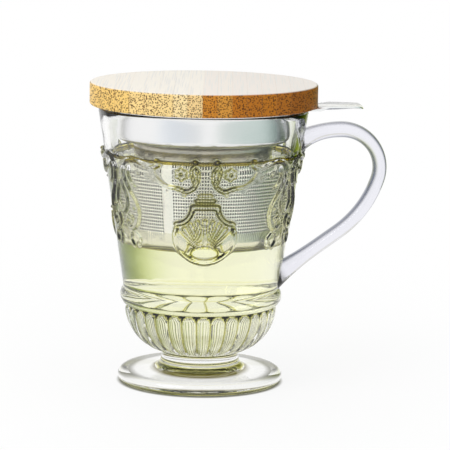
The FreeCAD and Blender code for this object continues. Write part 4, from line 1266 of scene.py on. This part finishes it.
# %% Fibres and glue lines
threads = add_node(fibres, "ShaderNodeTexVoronoi", {
    "Vector": millimetres(fibres, (1, 60, 1)), "Scale": 1.55, "Randomness": 1.0})
dots = rescale(fibres, threads.outputs["Distance"], 0.26, 0.52, 1.0, 0.0)
grain = add_node(fibres, "ShaderNodeTexNoise", {
    "Vector": millimetres(fibres, (1, 40, 1)), "Scale": 0.8, "Detail": 4.0,
    "Roughness": 0.6})
patch = rescale(fibres, grain.outputs["Fac"], 0.26, 0.44)
dark = reckon(fibres, "MULTIPLY", dots, patch)
streaked = blend(fibres, dark, base, FIBRE_COLOUR)
fraction = reckon(fibres, "FRACT", number)
line = reckon(fibres, "MAXIMUM", reckon(fibres, "COMPARE", fraction, 1.0, 0.04),
              reckon(fibres, "COMPARE", fraction, 0.0, 0.02))
glued = blend(fibres, reckon(fibres, "MULTIPLY", line, given["Shade"]), streaked, GLUE_COLOUR)
fibres.links.new(glued, result.inputs["Colour"])
fibres.links.new(dark, result.inputs["Height"])
print("bamboo nodes:", len(fibres.nodes))

# %% [markdown]
# The board's top is painted paler than its cut edge, a painted highlight for
# the glare it shows at a low angle, and it is waxed, so it mirrors the bright
# room at a low angle. The face that looks up is told from the edge by the height
# of the true normal.

# %% Bamboo, the board and the disc
# The paler colour of the painted highlight on top, and the coat's weight.
TOP_PAINTED_GLARE, WAX = (0.86, 0.83, 0.79), 0.35


def bamboo_finish(name, glue, painted_glare):
    """Bamboo with glue lines of the given strength and an upper face painted paler, as a painted
    highlight.
    """
    material, tree, shader, output = new_material(name)
    group = add_node(tree, "ShaderNodeGroup", node_tree=fibres)
    group.inputs["Shade"].default_value = glue
    normal = add_node(tree, "ShaderNodeNewGeometry").outputs["Normal"]
    up = add_node(tree, "ShaderNodeSeparateXYZ", {"Vector": normal}).outputs["Z"]
    # Painted highlight: the face that looks up is painted paler, for its glare.
    top_glare = blend(tree, rescale(tree, up, 0.5, 0.95, 0.0, painted_glare),
                 group.outputs["Colour"], TOP_PAINTED_GLARE)
    bump = add_node(tree, "ShaderNodeBump", {
        "Height": group.outputs["Height"], "Strength": 0.3, "Distance": 0.0001},
        invert=True)
    tree.links.new(top_glare, shader.inputs["Base Color"])
    tree.links.new(bump.outputs["Normal"], shader.inputs["Normal"])
    tree.links.new(rescale(tree, up, 0.5, 0.95, 0.0, WAX), shader.inputs["Coat Weight"])
    shader.inputs["Roughness"].default_value = 0.45
    shader.inputs["Specular IOR Level"].default_value = 0.15
    shader.inputs["Coat Roughness"].default_value = 0.3
    return material


board_bamboo = bamboo_finish("board_bamboo", 0.25, 0.86)
disc_bamboo = bamboo_finish("disc_bamboo", 0.0, 0.0)
print("bamboo finishes:", board_bamboo.name, disc_bamboo.name)

# %% [markdown]
# ## Silicone
#
# The sealing ring is soft silicone, milky and dull. A fine noise in its
# roughness keeps it from looking like hard plastic.

# %% Silicone
silicone, tree, shader, output = new_material("seal_silicone")
matt = add_node(tree, "ShaderNodeTexNoise",
                {"Vector": millimetres(tree), "Scale": 1.5, "Detail": 3.0})
tree.links.new(rescale(tree, matt.outputs["Fac"], 0, 1, 0.4, 0.6), shader.inputs["Roughness"])
shader.inputs["Base Color"].default_value = (0.80, 0.80, 0.77, 1)
shader.inputs["Subsurface Weight"].default_value = 0.2
shader.inputs["Subsurface Scale"].default_value = 0.002
print("silicone nodes:", len(tree.nodes))

# %% [markdown]
# ## Hang the pieces on the frame
#
# Every piece rides on the CAD body it belongs to, and stands for the node it
# replaces. The drained base, the disc under the lid and its seal keep their
# CAD shapes, which are right as they are, and only get their finishes.

# %% Ride, replace, finish
def place_piece(piece, body, material, slot=None, *replaced):
    """Gives a piece its material and body, and hides the CAD nodes that it replaces."""
    piece.data.materials.clear()
    piece.data.materials.append(material)
    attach(piece, body)
    if replaced:
        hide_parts(*replaced)


place_piece(glass_mug, "mug", glass, "glass", "glass_mug")
place_piece(glass_handle, "mug", handle_glass, "glass", "glass_handle")
place_piece(tea, "mug", tea_liquid)
place_piece(tea_edge_shaded, "mug", edge_painted_shade)
place_piece(shade_heap, "infuser", shade_heap_finish)
place_piece(basket, "infuser", sheet_steel, "steel", "basket_wall")
place_piece(collar, "infuser", collar_steel, "steel", "collar_cup")
place_piece(flange, "infuser", collar_steel, "steel", "flange_ring")
for index, strip in enumerate(strips, start=1):
    place_piece(strip, "lid", board_bamboo, "bamboo", "bamboo_strip_%02d" % index)
for node, material in (("basket_base", sheet_steel), ("lid_plug", disc_bamboo),
                       ("lid_seal", silicone)):
    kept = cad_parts[node]
    kept.data.materials.clear()
    kept.data.materials.append(material)
    print("kept from the frame:", node, "in", material.name)

# %% [markdown]
# ## The room
#
# Glass is drawn by what stands round it. On plain white it would vanish, so
# a studio puts grey and dark cards at the sides, out of view, and every bent
# edge picks them up. Here the world does the same. Its colour depends on the
# bearing: 0 is the camera's side, 90 the right, and 180 straight behind the
# mug. It is grey in front, for the steel to mirror, dark green and black in
# two narrow places at the back, and white behind. A low card of the tea's
# colour stands behind, and overhead it is plain. What the camera sees
# directly is white.

# %% Cards round the room
ROOM = [
    (-180, WHITE), (-145, WHITE), (-136, (1.0, 1.0, 0.95)), (-128, (0.08, 0.08, 0.06)),
    (-119, (0.80, 0.80, 0.82)), (-104, (1.05, 1.05, 1.05)), (-64, (1.05, 1.05, 1.05)),
    (-46, (0.74, 0.79, 0.85)), (-20, (0.72, 0.76, 0.80)), (-4, (0.72, 0.74, 0.75)),
    (6, (1.2, 1.2, 1.18)), (13, (1.1, 1.1, 1.08)), (24, (0.64, 0.70, 0.68)),
    (50, (0.62, 0.71, 0.68)), (88, (0.60, 0.70, 0.67)), (103, (0.24, 0.33, 0.31)),
    (122, (0.01, 0.03, 0.02)), (134, (0.10, 0.15, 0.0)), (150, (0.24, 0.31, 0.01)),
    (160, (0.72, 0.78, 0.38)), (170, WHITE), (180, WHITE)]
CARD_LEVELS = [(0.0, 0), (0.555, 0), (0.572, 1), (0.595, 1), (0.615, 0), (1.0, 0)]
CARD_COLOUR, CARD_STRENGTH = (0.38, 0.36, 0.10), 0.3
OVERHEAD = (0.95, 0.95, 0.95)
print("room stops:", len(ROOM))

# %% [markdown]
# The bearing is atan2(x, -y) of the direction looked in. The card's share is
# a ramp over the direction's height, faded in towards the back.

# %% The world
world = bpy.data.worlds.new("studio")
bpy.context.scene.world = world
world.use_nodes = True
tree = world.node_tree
direction = add_node(tree, "ShaderNodeTexCoord").outputs["Generated"]
parts = add_node(tree, "ShaderNodeSeparateXYZ", {"Vector": direction}).outputs
forward = reckon(tree, "MULTIPLY", parts["Y"], -1.0)
bearing = reckon(tree, "ARCTAN2", parts["X"], forward)
walls = ramp(tree, rescale(tree, bearing, -math.pi, math.pi),
             [((angle + 180) / 360, colour) for angle, colour in ROOM], "B_SPLINE")
card = ramp(tree, rescale(tree, parts["Z"], -1.0, 1.0),
            [(level, (share, share, share)) for level, share in CARD_LEVELS])
behind = rescale(tree, parts["Y"], -0.2, 0.3, 0.0, CARD_STRENGTH)
carded = blend(tree, reckon(tree, "MULTIPLY", card, behind), walls, CARD_COLOUR)
sky = blend(tree, rescale(tree, parts["Z"], 0.45, 0.8), carded, OVERHEAD)
seen = add_node(tree, "ShaderNodeLightPath").outputs
tree.links.new(blend(tree, seen["Is Camera Ray"], sky, WHITE),
               tree.nodes["Background"].inputs["Color"])
print("world nodes:", len(tree.nodes))

# %% [markdown]
# ## The floor
#
# The floor is a pale oval sheet, long to the back. To the camera, and in
# glass and metal, most of its colour is its own even white, so it runs on
# into the background without a line. The rest is ordinary matt paint, which
# keeps the soft shadow where the foot stands. Under the foot, where a thick
# glass foot gathers the tea's colour, painted shadow is drawn in that own
# light: two narrow dark olive rings, under the foot's recess and under its
# edge, round a pale yellow painted caustic in the middle.

# %% Cut the floor
FLOOR_RADIUS, FLOOR_NARROW, FLOOR_CORNERS = 0.5, 0.44, 128
edge_angle = 2 * math.pi * np.arange(FLOOR_CORNERS) / FLOOR_CORNERS
edge_points = FLOOR_RADIUS / MILLIMETRE * np.column_stack([
    FLOOR_NARROW * np.cos(edge_angle), np.sin(edge_angle), np.zeros(FLOOR_CORNERS)])
floor = add_piece("floor", np.vstack([edge_points, [0, 0, 0]]), np.zeros((0, 4), int),
                  pole_triangles(0, FLOOR_CORNERS, FLOOR_CORNERS, last=True))

# %% [markdown]
# Light Path tells which rays show the floor as seen, straight or in glass and
# metal: for those, the share of its own light grows from the foot outwards.

# %% The floor's finish
# Painted shadow and a painted caustic under the foot: dark olive rings round a pale yellow
# middle.
SHADOW_RING_REACH = 0.04
PAINTED_SHADOW_RINGS = [(0.0, (0.80, 0.78, 0.60)), (0.24, (0.12, 0.10, 0.01)), (0.45, (0.18, 0.15, 0.02)),
         (0.53, (0.98, 0.98, 0.95)), (0.67, (0.92, 0.92, 0.90)), (0.74, (0.12, 0.12, 0.07)),
         (0.84, (0.16, 0.16, 0.11)), (0.885, WHITE)]
OWN_LIGHT_FOOT, OWN_LIGHT_EDGE = 0.86, 1.0
FADE_START, FADE_END = 0.08, 0.42


def distance(tree, place):
    """The length of a vector."""
    return add_node(tree, "ShaderNodeVectorMath", {0: place}, operation="LENGTH").outputs["Value"]


paper, tree, shader, output = new_material("pale_floor")
shader.inputs["Base Color"].default_value = (0.9, 0.9, 0.9, 1)
shader.inputs["Roughness"].default_value = 0.8
place = add_node(tree, "ShaderNodeTexCoord").outputs["Object"]
# Painted shadow: the floor's own light takes the rings' colours.
painted_shadow_rings = ramp(tree, rescale(tree, distance(tree, place), 0, SHADOW_RING_REACH), PAINTED_SHADOW_RINGS)
glow_and_painted_shadow = add_node(tree, "ShaderNodeEmission", {"Color": painted_shadow_rings, "Strength": 1.0})
oval = add_node(tree, "ShaderNodeMapping", {
    "Vector": place, "Scale": (1 / FLOOR_NARROW, 1, 1)}).outputs["Vector"]
glow = rescale(tree, distance(tree, oval), FADE_START, FADE_END,
               OWN_LIGHT_FOOT, OWN_LIGHT_EDGE, interpolation_type="SMOOTHSTEP")
seen = add_node(tree, "ShaderNodeLightPath").outputs
mirrored = reckon(tree, "MAXIMUM", seen["Is Camera Ray"], seen["Is Glossy Ray"])
any_view = reckon(tree, "MAXIMUM", mirrored, seen["Is Transmission Ray"])
mixed = add_node(tree, "ShaderNodeMixShader", {
    0: reckon(tree, "MULTIPLY", any_view, glow), 1: shader.outputs["BSDF"],
    2: glow_and_painted_shadow.outputs["Emission"]})
tree.links.new(mixed.outputs["Shader"], output.inputs["Surface"])
floor.data.materials.append(paper)
floor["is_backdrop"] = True

# %% [markdown]
# ## Light and camera
#
# The world gives most of the light. One large soft lamp from the upper left
# adds the gentle fall of light that shows a round shape as round.
# The camera stands 1.08 m in front of the mug, 24 cm up, and looks slightly
# down through a long lens, as a product photographer's would. It was placed
# from the widths and heights of the lid, the foot and the rim.

# %% Lamp
KEY_PLACE, KEY_AIM, KEY_SIZE, KEY_POWER = (-0.7, -0.6, 0.9), (0, 0, 0.06), 0.8, 5.0
lamp = bpy.data.lights.new("key_lamp", "AREA")
lamp.shape = "DISK"
lamp.size = KEY_SIZE
lamp.energy = KEY_POWER
key = bpy.data.objects.new("key_lamp", lamp)
bpy.context.scene.collection.objects.link(key)
key.location = KEY_PLACE
away = Vector(KEY_PLACE) - Vector(KEY_AIM)
key.rotation_euler = away.to_track_quat("Z", "Y").to_euler()
print("lamp %.2f m from the mug" % away.length)

# %% [markdown]
# The camera's lens and tilt come from the same fit. A sensor is 36 mm wide, so
# a lens of 207 mm sees 9.9 degrees across.

# %% Camera
EYE = (0.009688, -1.073168, 0.241999)
PITCH, ROLL, LENS, SENSOR = 9.292, 0.985, 207.39, 36.0
lens = bpy.data.cameras.new("camera")
lens.lens = LENS
lens.sensor_width = SENSOR
camera = bpy.data.objects.new("camera", lens)
bpy.context.scene.collection.objects.link(camera)
camera.matrix_world = (
    Matrix.Translation(EYE)
    @ Matrix.Rotation(math.radians(90 - PITCH), 4, "X")
    @ Matrix.Rotation(math.radians(ROLL), 4, "Z"))
bpy.context.scene.camera = camera
bpy.context.scene.view_settings.view_transform = "Standard"
print("camera sees %.1f degrees across" % math.degrees(lens.angle))

# %% [markdown]
# ## Sizes, and the end
#
# Both boxes, the CAD model's and the dressed model's, are the cell's last
# value. The dressed model must keep to the CAD model's box.

# %% The boxes, as the last value
def plain(box):
    """A box as plain lists of numbers."""
    return [[float(number) for number in corner] for corner in box]


{"cad": plain(cad_box), "visual": plain(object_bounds())}
